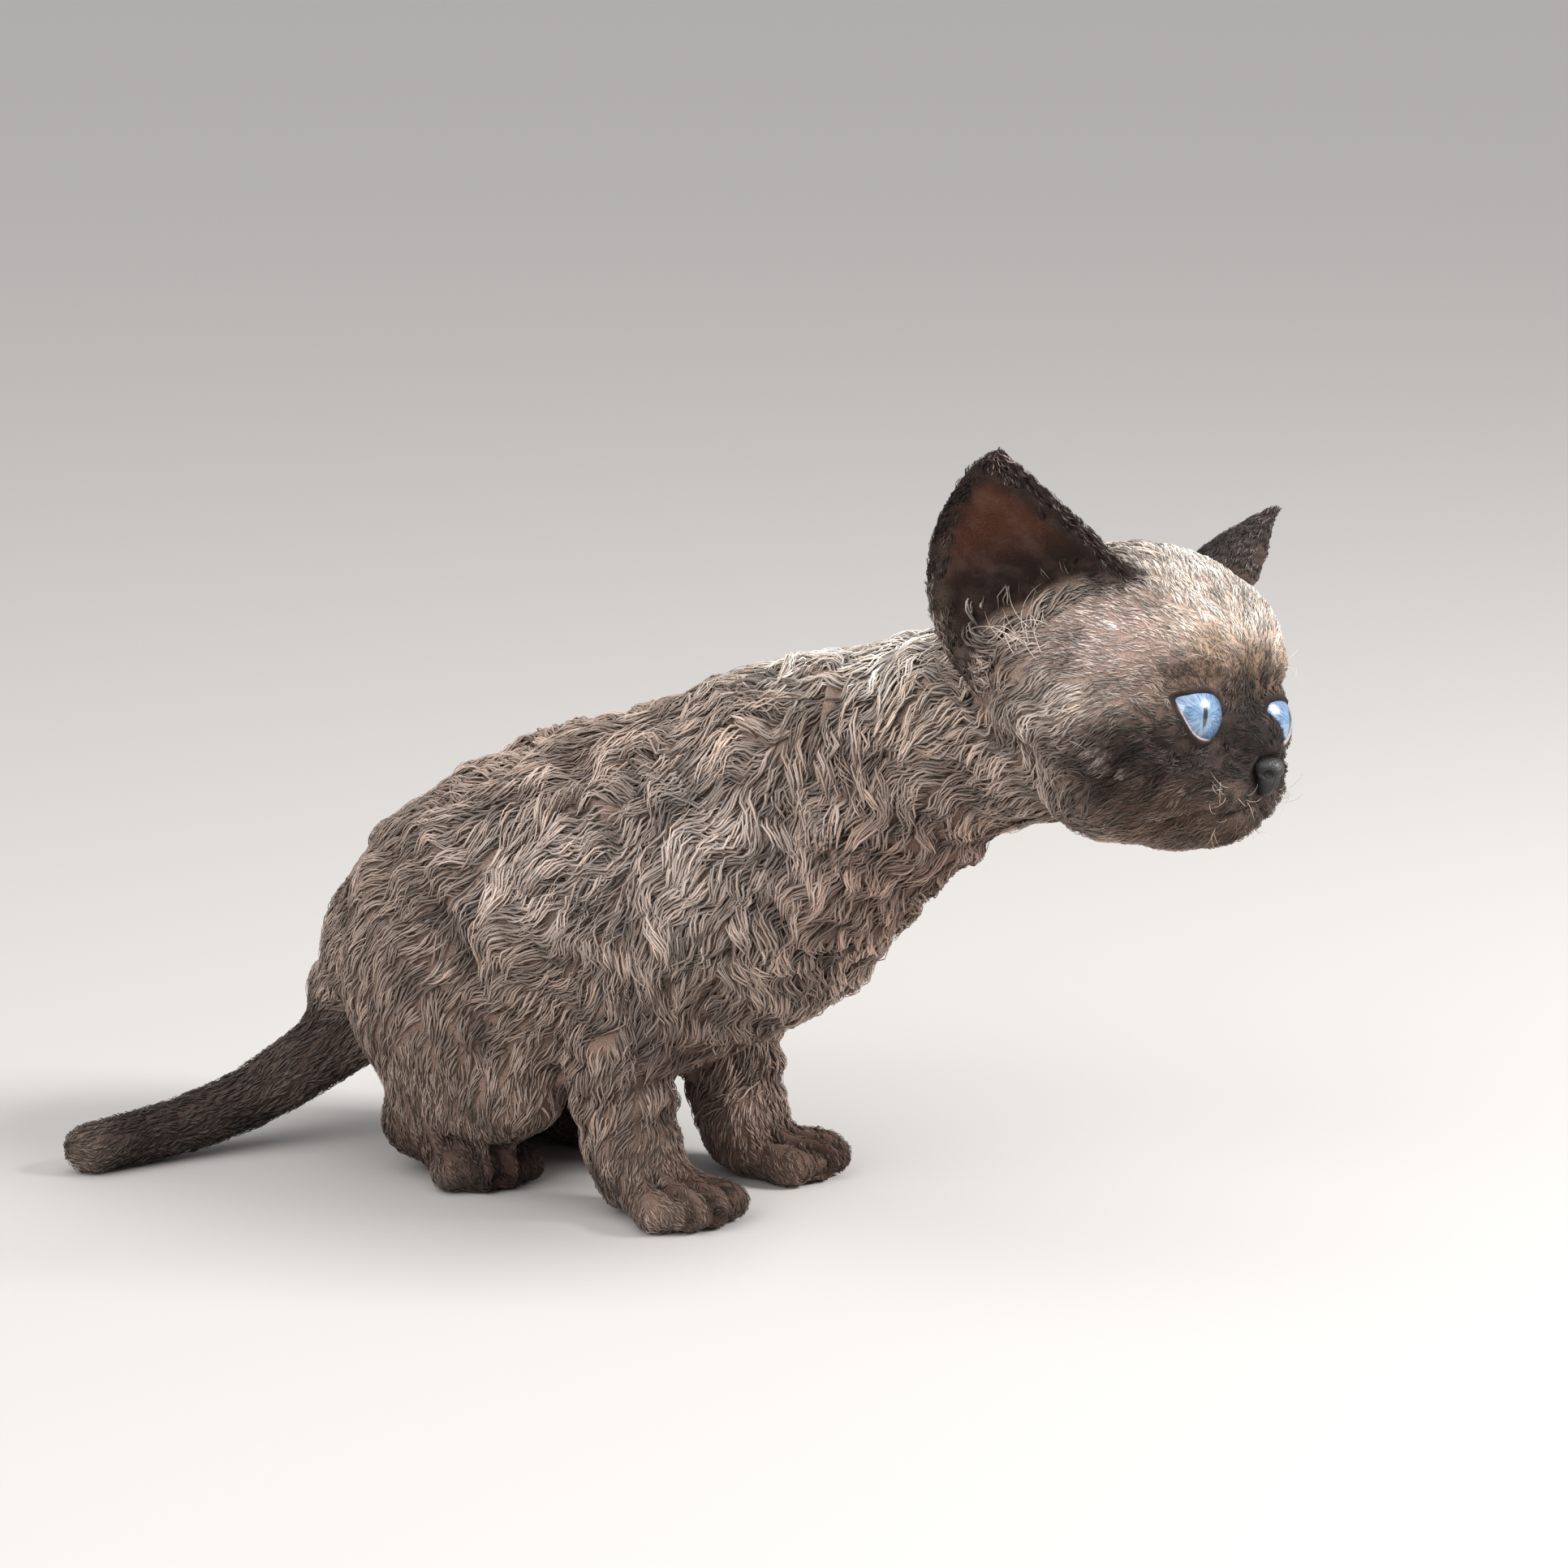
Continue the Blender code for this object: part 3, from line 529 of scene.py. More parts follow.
class Meshes:
    """Makes and reads meshes as arrays in millimetres."""

    @staticmethod
    def read(items: Any, name: str, width: int, kind: type = float) -> Array:
        """One property of every item.

        Args:
            items: the points, edges or other items.
            name: the property.
            width: how many values each has.
            kind: what type they are.

        Returns:
            A row of this width for each item.
        """
        values = np.empty(len(items) * width, kind)
        items.foreach_get(name, values)
        return values.reshape(-1, width)

    @staticmethod
    def make(name: str, points: Array, triangles: Array) -> Piece:
        """A new object with a mesh of triangles.

        Args:
            name: the object's name.
            points: its points in millimetres.
            triangles: three point numbers for each triangle.

        Returns:
            The object, smoothly shaded.
        """
        mesh = bpy.data.meshes.new(name)
        mesh.vertices.add(len(points))
        mesh.vertices.foreach_set("co", (points * MM).astype(np.float32).ravel())
        mesh.loops.add(triangles.size)
        mesh.loops.foreach_set("vertex_index", triangles.astype(np.int32).ravel())
        mesh.polygons.add(len(triangles))
        mesh.polygons.foreach_set("loop_start", np.arange(0, triangles.size, 3, dtype=np.int32))
        mesh.update(calc_edges=True)
        mesh.shade_smooth()
        made = bpy.data.objects.new(name, mesh)
        bpy.context.scene.collection.objects.link(made)
        return made

    @staticmethod
    def colour(piece: Piece, colours: Array) -> None:
        """Gives each point of the piece its colour.

        Args:
            piece: the object.
            colours: a linear colour for each point.
        """
        layer = piece.data.color_attributes.new(MARKINGS, "FLOAT_COLOR", "POINT")
        whole = np.concatenate([colours, np.ones((len(colours), 1))], axis=1)
        layer.data.foreach_set("color", whole.astype(np.float32).ravel())

    @staticmethod
    def strand(piece: Piece, places: Array) -> None:
        """Gives each point its place across and along its tuft, and the tuft's own number."""
        layer = piece.data.attributes.new(STRAND, "FLOAT_VECTOR", "POINT")
        layer.data.foreach_set("vector", places.astype(np.float32).ravel())

    @staticmethod
    def bake_map(piece: Piece, places: Array) -> None:
        """Lays each point at its own place on the map for baking.

        Args:
            piece: the object.
            places: a place on the map for each point.
        """
        layer = piece.data.uv_layers.new(name=BAKE_MAP)
        corners = Meshes.read(piece.data.loops, "vertex_index", 1, np.int32)[:, 0]
        layer.uv.foreach_set("vector", places[corners].astype(np.float32).ravel())

    @staticmethod
    def remesh(piece: Piece, voxel: float) -> None:
        """Has the piece made one closed surface when its modifiers are applied.

        Args:
            piece: the object.
            voxel: how fine the surface is.
        """
        step = piece.modifiers.new("join", "REMESH")
        step.mode = "VOXEL"
        step.voxel_size = voxel * MM

    @staticmethod
    def apply(piece: Piece) -> None:
        """Makes the modifiers part of the mesh.

        Args:
            piece: the object.
        """
        graph = bpy.context.evaluated_depsgraph_get()
        mesh = bpy.data.meshes.new_from_object(piece.evaluated_get(graph))
        piece.modifiers.clear()
        piece.data = mesh

    @staticmethod
    def points(piece: Piece) -> Array:
        """The piece's points in millimetres."""
        return Meshes.read(piece.data.vertices, "co", 3) / MM

    @staticmethod
    def normals(piece: Piece) -> Array:
        """The normal at each of the piece's points."""
        return Meshes.read(piece.data.vertex_normals, "vector", 3)

    @staticmethod
    def move(piece: Piece, points: Array) -> None:
        """Puts the piece's points at these places."""
        piece.data.vertices.foreach_set("co", (points * MM).ravel())
        piece.data.update()

    @staticmethod
    def soften(piece: Piece, rounds: int, share: Array) -> None:
        """Evens the surface: again and again, each point moves towards its neighbours' middle.

        Args:
            piece: the object.
            rounds: how often they move.
            share: how much of the way each point goes.
        """
        a, b = Meshes.read(piece.data.edges, "vertices", 2, np.int32).T
        points = Meshes.points(piece)
        count = np.bincount(np.concatenate([a, b]), minlength=len(points))[:, None]
        for _ in range(rounds):
            sums = np.stack([
                np.bincount(a, points[b, k], len(points)) + np.bincount(b, points[a, k], len(points))
                for k in range(3)
            ], axis=1)
            points += share[:, None] * (sums / count - points)
        Meshes.move(piece, points)


@dataclass
class Spots:
    """Places on a surface.

    Attributes:
        places: where they are.
        normals: the surface's normal at each.
        faces: the triangle that holds each.
        weights: how near each is to its triangle's corners.
    """

    places: Array
    normals: Array
    faces: Array
    weights: Array

    def keep(self, chosen: Array) -> "Spots":
        """The chosen ones alone."""
        return Spots(self.places[chosen], self.normals[chosen], self.faces[chosen], self.weights[chosen])


class Surface:
    """A triangulated mesh as arrays, with ways to find places on it."""

    def __init__(self, piece: Piece) -> None:
        """Reads a mesh, and its map for baking if it has one.

        Args:
            piece: the object.
        """
        mesh = piece.data
        mesh.calc_loop_triangles()
        self.points = Meshes.points(piece)
        self.normals = Meshes.normals(piece)
        self.corners = Meshes.read(mesh.loop_triangles, "vertices", 3, np.int32)
        self.tree = BVHTree.FromPolygons(self.points.tolist(), self.corners.tolist(), all_triangles=True)
        layer = mesh.uv_layers.get(BAKE_MAP)
        if layer:
            loops = Meshes.read(mesh.loop_triangles, "loops", 3, np.int32)
            self.map = Meshes.read(layer.uv, "vector", 2)[loops]

    def areas(self) -> Array:
        """Twice the area of each triangle."""
        a, b, c = (self.points[self.corners[:, k]] for k in range(3))
        return spans(np.cross(b - a, c - a))

    def spots(self, places: Array, faces: Array, weights: Array) -> Spots:
        """Spots with the surface's smooth normals."""
        normals = (self.normals[self.corners[faces]] * weights[..., None]).sum(axis=1)
        return Spots(places, unit(normals), faces, weights)

    def nearest(self, places: Array) -> Spots:
        """The nearest places on the surface.

        Args:
            places: where to look from.

        Returns:
            A spot for each of them.
        """
        hits = [self.tree.find_nearest(place) for place in places.reshape(-1, 3).tolist()]
        spots = np.array([hit[0][:] for hit in hits])
        faces = np.array([hit[2] for hit in hits])
        a, b, c = (self.points[self.corners[faces, k]] for k in range(3))
        whole = np.cross(b - a, c - a)
        size = np.maximum((whole * whole).sum(axis=1), 1e-12)
        second = (np.cross(spots - a, c - a) * whole).sum(axis=1) / size
        third = (np.cross(b - a, spots - a) * whole).sum(axis=1) / size
        weights = np.clip(np.stack([1 - second - third, second, third], axis=1), 0, 1)
        return self.spots(spots, faces, weights)

    def distance(self, places: Array) -> Array:
        """How far each place is from the surface."""
        return np.array([self.tree.find_nearest(place)[3] for place in places.tolist()])

    def scatter(self, density: float, share: Share, draw: Draw) -> Spots:
        """Random spots all over.

        Args:
            density: how many to the square millimetre where the share is one.
            share: how many of them to keep, from places and normals.
            draw: the random numbers.

        Returns:
            The spots.
        """
        chance = np.cumsum(self.areas())
        count = int(density * chance[-1] / 2)
        faces = np.searchsorted(chance, draw.random(count) * chance[-1])
        u, v = draw.random((2, count))
        over = u + v > 1
        u[over], v[over] = 1 - u[over], 1 - v[over]
        weights = np.stack([1 - u - v, u, v], axis=1)
        places = (self.points[self.corners[faces]] * weights[..., None]).sum(axis=1)
        made = self.spots(places, faces, weights)
        return made.keep(draw.random(count) < share(made.places, made.normals))

    def on_map(self, spots: Spots) -> Array:
        """Where the spots lie on the map for baking."""
        return (self.map[spots.faces] * spots.weights[..., None]).sum(axis=1)


@dataclass(frozen=True)
class Comb:
    """How the coat lies round one place.

    Attributes:
        part: the frame of the place.
        place: where it is, on the left side or in the middle.
        way: the direction in which the hair lies.
        reach: how far this holds.
        length: the hair's length.
        curl: how strongly it waves, from none to one.
    """

    part: Part
    place: Place
    way: Place
    reach: float
    length: float
    curl: float = 0.3


BODY_COMBS = [Comb(Part.BODY, *row) for row in (
    ((10, 0, 122), (-1, 0, -0.15), 22, 13, 1),
    ((45, 0, 124), (-0.95, 0, -0.25), 20, 12, 1),
    ((44, 22, 100), (-0.6, 0.15, -0.8), 20, 12, 1),
    ((36, 22, 80), (-0.5, 0.1, -0.85), 18, 12, 1),
    ((62, 10, 84), (-0.75, 0.1, -0.6), 13, 7, 0.8),
    ((8, 28, 88), (-0.55, 0.1, -0.85), 22, 13, 1),
    ((38, 0, 62), (-0.4, 0, -0.9), 20, 9, 1),
    ((0, 28, 58), (-0.4, 0, -0.9), 17, 10, 1),
    ((-30, 0, 98), (-1, 0, -0.1), 28, 12, 1),
    ((-30, 32, 70), (-0.7, 0.1, -0.7), 26, 13, 1),
    ((-20, 0, 25), (-1, 0, 0), 22, 6, 0.6),
    ((-20, 28, 40), (-0.75, 0, -0.65), 18, 10, 0.9),
    ((-65, 0, 85), (-0.95, 0, -0.3), 25, 11, 0.8),
    ((-72, 32, 52), (-0.6, 0.05, -0.8), 24, 6.2, 0.12),
    ((-98, 0, 50), (-0.6, 0, -0.8), 18, 6, 0.15),
    ((-52, 34, 26), (-0.1, 0, -1), 14, 4.6, 0.15),
    ((-16, 22, 32), (-0.05, 0, -1), 17, 3.4, 0.5),
    ((-2, 20, 8), (0.9, 0, -0.35), 12, 1.7, 0.05),
    ((-50, 20, 8), (0.9, 0, -0.3), 13, 1.8, 0.05),
    ((-80, 20, 10), (0.5, 0, -0.85), 14, 3.6, 0.2),
)]
TAIL_PATH = [
    (-92, 0, 30), (-101, -7, 22), (-110, -18, 14), (-117, -30, 9), (-123, -42, 6.5), (-128, -55, 5.6)
]
HEAD_COMBS = [Comb(Part.HEAD, *row) for row in (
    ((34, 0, -5), (-0.75, 0.1, 0.65), 6, 2.2, 0.1),
    ((31, 0, 4), (-0.6, 0.1, 0.8), 7, 2.7, 0.3),
    ((30, 0, 17), (-0.45, 0.05, 0.9), 9, 3.2, 0.4),
    ((18, 0, 29), (-0.95, 0, 0.35), 11, 4.2, 0.4),
    ((-4, 0, 34), (-1, 0, 0), 12, 5.5, 0.5),
    ((-22, 0, 27), (-0.9, 0, -0.45), 12, 8, 0.8),
    ((26, 12, 10), (-0.6, 0.3, 0.75), 6, 2.6, 0.5),
    ((15, 19, 12), (-0.95, 0.3, 0.15), 8, 2.6, 0.2),
    ((4, 24, 14), (-1, 0.15, -0.05), 9, 3.0, 0.2),
    ((30, 10, -9), (-0.45, 0.6, -0.65), 4, 2.5, 0.4),
    ((24, 16, -9), (-0.8, 0.4, -0.4), 6, 2.4, 0.6),
    ((15, 20, -3), (-0.95, 0.3, -0.1), 7, 3.2, 0.6),
    ((33, 6, -15), (-0.6, 0.8, -0.15), 5, 2.3, 0.4),
    ((26, 12, -16), (-0.8, 0.5, -0.35), 5, 2.2, 0.5),
    ((15, 20, -14), (-0.85, 0.25, -0.45), 8, 4.2, 0.9),
    ((4, 25, -8), (-0.85, 0.1, -0.5), 9, 5.2, 1),
    ((-8, 27, -10), (-0.65, 0.1, -0.75), 8, 8.5, 1),
    ((14, 17, -25), (-0.7, 0.3, -0.65), 6, 5.5, 0.7),
    ((30, 0, -25), (-0.5, 0.2, -0.8), 6, 2.0, 0.3),
    ((20, 5, -29), (-0.9, 0.2, -0.4), 7, 3.6, 0.5),
    ((4, 6, -28), (-0.9, 0.1, -0.4), 10, 5, 0.5),
)]


class Groom:
    """The lie, length and curl of the coat at any place, blended from the combs nearby.

    Attributes:
        swirl: how far slow swirls turn the hair, in radians.
        swirl_step: over what distance they change.
        swirl_seed: for their random draws.
        tail_comb: reach, length and curl of the combs down the tail.
    """

    swirl: float = 0.6
    swirl_step: float = 22
    swirl_seed: int = 15
    tail_comb: tuple[float, float, float] = (9, 4.2, 0.2)

    def __init__(self, combs: Sequence[Comb], tail: Sequence[Place]) -> None:
        """Sets out every comb on both sides, and a row of them down the tail.

        Args:
            combs: the body's and the head's combs.
            tail: places down the middle of the tail.
        """
        rows = []
        for comb in combs:
            for place, way in both_sides(comb.part, comb.place, comb.way):
                rows.append((place, way, comb.reach, comb.length, comb.curl))
        for start, end in zip(tail, tail[1:]):
            way = np.array(end, float) - start
            rows.append((KITTEN.from_body(start), way / np.linalg.norm(way), *self.tail_comb))
        places, ways, reaches, lengths, curls = zip(*rows)
        self.places, self.ways = np.array(places), unit(np.array(ways))
        self.reaches, self.lengths, self.curls = np.array(reaches), np.array(lengths), np.array(curls)

    def shares(self, places: Array) -> Array:
        """How much each comb counts.

        Args:
            places: where to look.

        Returns:
            For each place, a share for each comb that add up to one.
        """
        apart = ((places[:, None] - self.places[None]) ** 2).sum(axis=2) / (2 * self.reaches**2)
        weights = np.exp(-np.minimum(apart, 60)) / self.reaches
        weights += 1e-9 / (1 + apart)
        return weights / weights.sum(axis=1, keepdims=True)

    def way(self, places: Array, normals: Array) -> Array:
        """How the hair lies, with slow swirls.

        Args:
            places: where to look.
            normals: the skin's normals there.

        Returns:
            The direction along the surface at each place.
        """
        shares = self.shares(places)
        ways = flat_on(shares @ self.ways, normals)
        turn = shares @ self.curls * self.swirl * uneven(places, self.swirl_step, self.swirl_seed)
        return turned(ways, normals, turn[:, None])

    def length(self, places: Array) -> Array:
        """The hair's length at each place."""
        return self.shares(places) @ self.lengths

    def curl(self, places: Array) -> Array:
        """How strongly the hair waves at each place."""
        return self.shares(places) @ self.curls


@dataclass(frozen=True)
class Waves:
    """The waves that run through the whole coat, nearly in step from lock to lock.

    Attributes:
        step: from one crest to the next.
        runs: the direction in which the crests follow one another.
        drift: how far a crest wanders.
        drift_step: over what distance it wanders.
        seed: for its random draws.
    """

    step: float = 11.5
    runs: Place = (-0.72, 0.12, -0.68)
    drift: float = 6.5
    drift_step: float = 26
    seed: int = 3

    def phase(self, places: Array) -> Array:
        """Where in its wave the coat is.

        Args:
            places: where to look.

        Returns:
            An angle in radians for each place.
        """
        draw = np.random.default_rng(self.seed)
        along = places @ np.array(self.runs)
        for _ in range(6):
            knob = unit(draw.normal(size=3)) * math.tau / (self.drift_step * draw.uniform(0.5, 1.5))
            along = along + self.drift / 2 * np.sin(places @ knob + draw.uniform(0, math.tau))
        return along * math.tau / self.step


class Shade(Enum):
    """The colours of the coat, as the hair's middle."""

    TAUPE = paint(164, 146, 134)
    GREY = paint(190, 176, 167)
    CREAM = paint(232, 220, 208)
    WHITE = paint(243, 233, 222)
    PINK = paint(226, 208, 199)
    GOLD = paint(172, 140, 106)
    BROWN = paint(98, 76, 62)
    CHEEK = paint(60, 44, 37)
    SEAL = paint(42, 32, 28)
    BLACK = paint(28, 22, 21)
    THROAT = paint(148, 122, 110)
    LEG = paint(156, 137, 126)
    PAW = paint(78, 57, 46)
    HOCK = paint(66, 47, 38)
    TAIL = paint(56, 45, 41)
    EAR = paint(54, 43, 39)
    EAR_GLOW = paint(92, 54, 36)
    EAR_DEEP = paint(44, 28, 23)
    EAR_PALE = paint(142, 128, 120)


@dataclass(frozen=True)
class Patch:
    """A soft patch of colour.

    Attributes:
        part: the frame of the place.
        place: its middle, on the left side or in the middle.
        reach: its half sizes forwards, sideways and upwards.
        shade: its colour.
        share: how fully it covers at its middle.
    """

    part: Part
    place: Place
    reach: Place
    shade: Shade
    share: float = 1


PATCHES = [Patch(Part.BODY, *row) for row in (
    ((-70, 30, 40), (30, 30, 26), Shade.LEG, 0.7),
    ((-20, 0, 22), (60, 30, 22), Shade.THROAT, 0.8),
    ((52, 0, 78), (26, 26, 16), Shade.THROAT, 0.9),
    ((34, 14, 66), (16, 22, 16), Shade.THROAT, 0.6),
    ((14, 0, 120), (24, 18, 12), Shade.CREAM, 0.85),
    ((45, 0, 122), (18, 17, 12), Shade.WHITE, 0.95),
    ((66, 0, 130), (16, 16, 12), Shade.WHITE, 0.8),
    ((6, 26, 84), (22, 14, 20), Shade.GREY, 0.7),
    ((-30, 30, 74), (24, 14, 16), Shade.GREY, 0.6),
    ((-16, 22, 24), (14, 16, 16), Shade.LEG, 0.8),
    ((0, 20, 4), (20, 18, 9), Shade.PAW, 1),
    ((-46, 20, 4), (26, 20, 12), Shade.HOCK, 1),
    ((-80, 20, 6), (22, 18, 12), Shade.HOCK, 1),
    ((-104, -8, 22), (12, 14, 14), Shade.TAIL, 1),
    ((-114, -24, 10), (16, 18, 14), Shade.TAIL, 1),
    ((-124, -46, 6), (18, 20, 14), Shade.TAIL, 1),
)] + [Patch(Part.HEAD, *row) for row in (
    ((0, 0, 0), (36, 36, 40), Shade.TAUPE, 0.6),
    ((-12, 28, -12), (14, 9, 11), Shade.GREY, 0.8),
    ((12, 0, 32), (24, 20, 16), Shade.WHITE, 1),
    ((-14, 0, 34), (18, 16, 14), Shade.WHITE, 0.9),
    ((28, 0, 20), (11, 16, 9), Shade.WHITE, 0.9),
    ((24, 12, 16), (9, 8, 8), Shade.CREAM, 0.9),
    ((12, 24, 13), (14, 9, 8), Shade.PINK, 0.95),
    ((0, 27, 10), (9, 8, 8), Shade.PINK, 0.7),
    ((4, 26, 0), (13, 8, 5), Shade.CREAM, 0.75),
    ((27, 11, 11), (6, 4, 6), Shade.GOLD, 0.7),
    ((32, 0, 9), (8, 8, 6), Shade.GOLD, 0.8),
    ((24, 14, 6), (8, 8, 3.5), Shade.BROWN, 0.8),
    ((0, 20, 25), (8, 5.5, 5), Shade.EAR, 0.85),
    ((14, 22, -12), (16, 12, 11), Shade.CHEEK, 1),
    ((20, 14, -22), (14, 12, 9), Shade.BROWN, 0.85),
    ((25, 17, -9), (13, 11, 8), Shade.SEAL, 0.95),
    ((31, 0, 1), (12, 11, 9), Shade.SEAL, 1),
    ((29, 10, -4), (8, 8, 8), Shade.SEAL, 0.9),
    ((33, 0, -10), (11, 14, 13), Shade.BLACK, 1),
    ((27, 0, -26), (9, 9, 6), Shade.BROWN, 0.8),
)]


@dataclass
class Ears:
    """The two ears' own frames, from the solids' ears.

    Attributes:
        tip, root, opens: of the left ear, in the head's frame.
        front_edge, back_edge: the curves of its two edges, each as four controls.
        tilt: how far the left ear leans outwards, in degrees.
        reach: how far from its root an ear reaches.
        band: how far out the surface of an ear still counts as its own.
        front_band, back_band: where the bands along the edges begin to fade and end.
        solids: the ear of each side.
    """

    tip: Place = (-8, 41, 47)
    root: Place = (-3, 23, 15)
    opens: Place = (0.66, 0.7, -0.27)
    front_edge: tuple[Place, ...] = ((10, 16, 24), (8, 23, 30), (-3, 33, 42), (-6.8, 40.6, 47.2))
    back_edge: tuple[Place, ...] = ((-13, 27, -3), (-39, 29, 5), (-33, 40, 35), (-9, 41, 47.2))
    tilt: float = 10
    reach: float = 48
    band: tuple[float, float] = (1.0, 3.5)
    front_band: tuple[float, float] = (5.5, 11)
    back_band: tuple[float, float] = (2.5, 7)
    solids: dict[int, Surface] = field(init=False)

    def __post_init__(self) -> None:
        """Reads the solids' ears."""
        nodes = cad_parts
        self.solids = {1: Surface(nodes["ear_left"]), -1: Surface(nodes["ear_right"])}

    def place(self, point: Place, side: int) -> Array:
        """Where a point of an ear lies.

        Args:
            point: given on the left ear, in the head's frame.
            side: which ear it is for.

        Returns:
            The place in the model's frame.
        """
        root = Matrix.Translation(Vector(self.root))
        lean = Matrix.Rotation(-math.radians(self.tilt if side > 0 else 0), 4, "X")
        spot = root @ lean @ root.inverted() @ Vector(point)
        return KITTEN.from_head(np.array([spot.x, spot.y * side, spot.z]))

    def way(self, start: Place, end: Place, side: int) -> Array:
        """The direction from one point of an ear to another."""
        return unit(self.place(end, side) - self.place(start, side))

    def opening(self, side: int) -> Array:
        """The way that an ear's cup opens."""
        far = tuple(a + b for a, b in zip(self.root, self.opens))
        return self.way(self.root, far, side)

    def apart(self, places: Array, controls: Sequence[Place], side: int) -> Array:
        """How far places are from one edge of an ear's cup.

        Args:
            places: where to look.
            controls: the edge's curve on the left ear.
            side: which ear it is.

        Returns:
            A distance for each place.
        """
        a, b, c, d = (self.place(control, side) for control in controls)
        t = np.linspace(0, 1, 12)[:, None]
        edge = (1 - t) ** 3 * a + 3 * (1 - t) ** 2 * t * b + 3 * (1 - t) * t**2 * c + t**3 * d
        return spans(places[:, None] - edge[None]).min(axis=1)

    def share(self, places: Array) -> dict[int, Array]:
        """How much places belong to each ear.

        Args:
            places: where to look.

        Returns:
            For each side, a share for each place.
        """
        found = {}
        for side, solid in self.solids.items():
            near = spans(places - self.place(self.root, side)) < self.reach
            found[side] = np.zeros(len(places))
            found[side][near] = 1 - ramp(solid.distance(places[near]), *self.band)
        return found

    def whole_share(self, places: Array) -> Array:
        """How much each place belongs to either ear."""
        return sum(self.share(places).values())

    def rise(self, places: Array, side: int) -> Array:
        """How far up the ear each place is, from none at its root to one at its tip."""
        root, tip = self.place(self.root, side), self.place(self.tip, side)
        return (places - root) @ (tip - root) / ((tip - root) @ (tip - root))

    def inside(self, normals: Array, side: int) -> Array:
        """How much each normal belongs to the cup's hollow side."""
        return ramp(normals @ self.opening(side), -0.05, 0.3)

    def front(self, places: Array, side: int) -> Array:
        """How near each place is to the cup's front edge, from none to one."""
        return 1 - ramp(self.apart(places, self.front_edge, side), *self.front_band)

    def back(self, places: Array, side: int) -> Array:
        """How near each place is to the cup's back edge, from none to one."""
        return 1 - ramp(self.apart(places, self.back_edge, side), *self.back_band)


@dataclass
class Markings:
    """The kitten's colours at any place, the same for its skin and its coat.

    Attributes:
        patches: the patches of colour, each over those before it.
        ears: the ears' frames.
        folds: the creases, which get painted shade, and the ridges, which get painted highlight.
        crease: how dark the painted shade in the deepest of them is.
    """

    patches: Sequence[Patch]
    ears: Ears
    folds: "Folds"
    crease: float = 0.88

    def at(self, places: Array, normals: Array) -> Array:
        """The colour of the coat at each place.

        Args:
            places: where to look.
            normals: the skin's normals there.

        Returns:
            One linear colour for each place.
        """
        colours = np.tile(np.array(Shade.TAUPE.value), (len(places), 1))
        in_head = KITTEN.to_head(places)
        in_body = KITTEN.to_body(places)
        for patch in self.patches:
            spots = in_head if patch.part is Part.HEAD else in_body
            share = np.zeros(len(places))
            for side in sides(patch.place[1]):
                apart = (((spots - mirrored(patch.place, side)) / patch.reach) ** 2).sum(axis=1)
                share = np.maximum(share, np.exp(-(apart**1.4)))
            colours = blend(colours, patch.shade.value, (share * patch.share)[:, None])
        # Painted shade darkens the creases, the gaps between the toes and the hollows between the foreleg's
        # ripples; painted highlight pales the ridges towards GREY.
        _, dark = self.folds.at(places)
        colours = colours * (1 - self.crease * np.clip(dark, 0, 1))[:, None]
        colours = blend(colours, Shade.GREY.value, np.clip(-dark, 0, 1)[:, None])
        return self.on_ears(places, normals, colours)

    def on_ears(self, places: Array, normals: Array, colours: Array) -> Array:
        """Lays the colours of the ears over the others.

        Args:
            places: where to look.
            normals: the skin's normals there.
            colours: the others, which are changed.

        Returns:
            The changed colours.
        """
        for side, share in self.ears.share(places).items():
            chosen = share > 0
            spots, faces = places[chosen], normals[chosen]
            rise = self.ears.rise(spots, side)
            hollow = self.ears.inside(faces, side)
            front, back = self.ears.front(spots, side), self.ears.back(spots, side)
            outer = np.tile(Shade.EAR.value, (len(spots), 1))
            outer = blend(outer, Shade.BROWN.value, 0.35 * (1 - ramp(rise, 0.0, 0.5))[:, None])
            inner = np.tile(Shade.EAR_DEEP.value, (len(spots), 1))
            upper = ramp(rise, 0.25, 0.6) * (1 - ramp(rise, 0.85, 1.0))
            inner = blend(inner, Shade.EAR_GLOW.value, (upper * (1 - front) * (1 - back * 0.9))[:, None])
            inner = blend(inner, Shade.EAR.value, np.maximum(front, back * 0.8)[:, None])
            pale = (back * (1 - ramp(rise, 0.2, 0.75)) * 0.8)[:, None]
            whole = blend(outer, blend(inner, Shade.EAR_PALE.value, pale), hollow[:, None])
            part = (share[chosen] * ramp(rise, -0.45, -0.1))[:, None]
            colours[chosen] = blend(colours[chosen], whole, part)
        return colours


@dataclass(frozen=True)
class Fold:
    """A crease in the skin along a short path, or a ridge.

    Attributes:
        part: the frame of its path.
        path: places along it, on the left side or in the middle.
        depth: how deep it is, or less than none for a ridge.
        width: how wide it is to either side.
        dark: how dark its painted shade lies in the coat, or less than none for a painted highlight on a
            ridge.
    """

    part: Part
    path: tuple[Place, ...]
    depth: float
    width: float
    dark: float


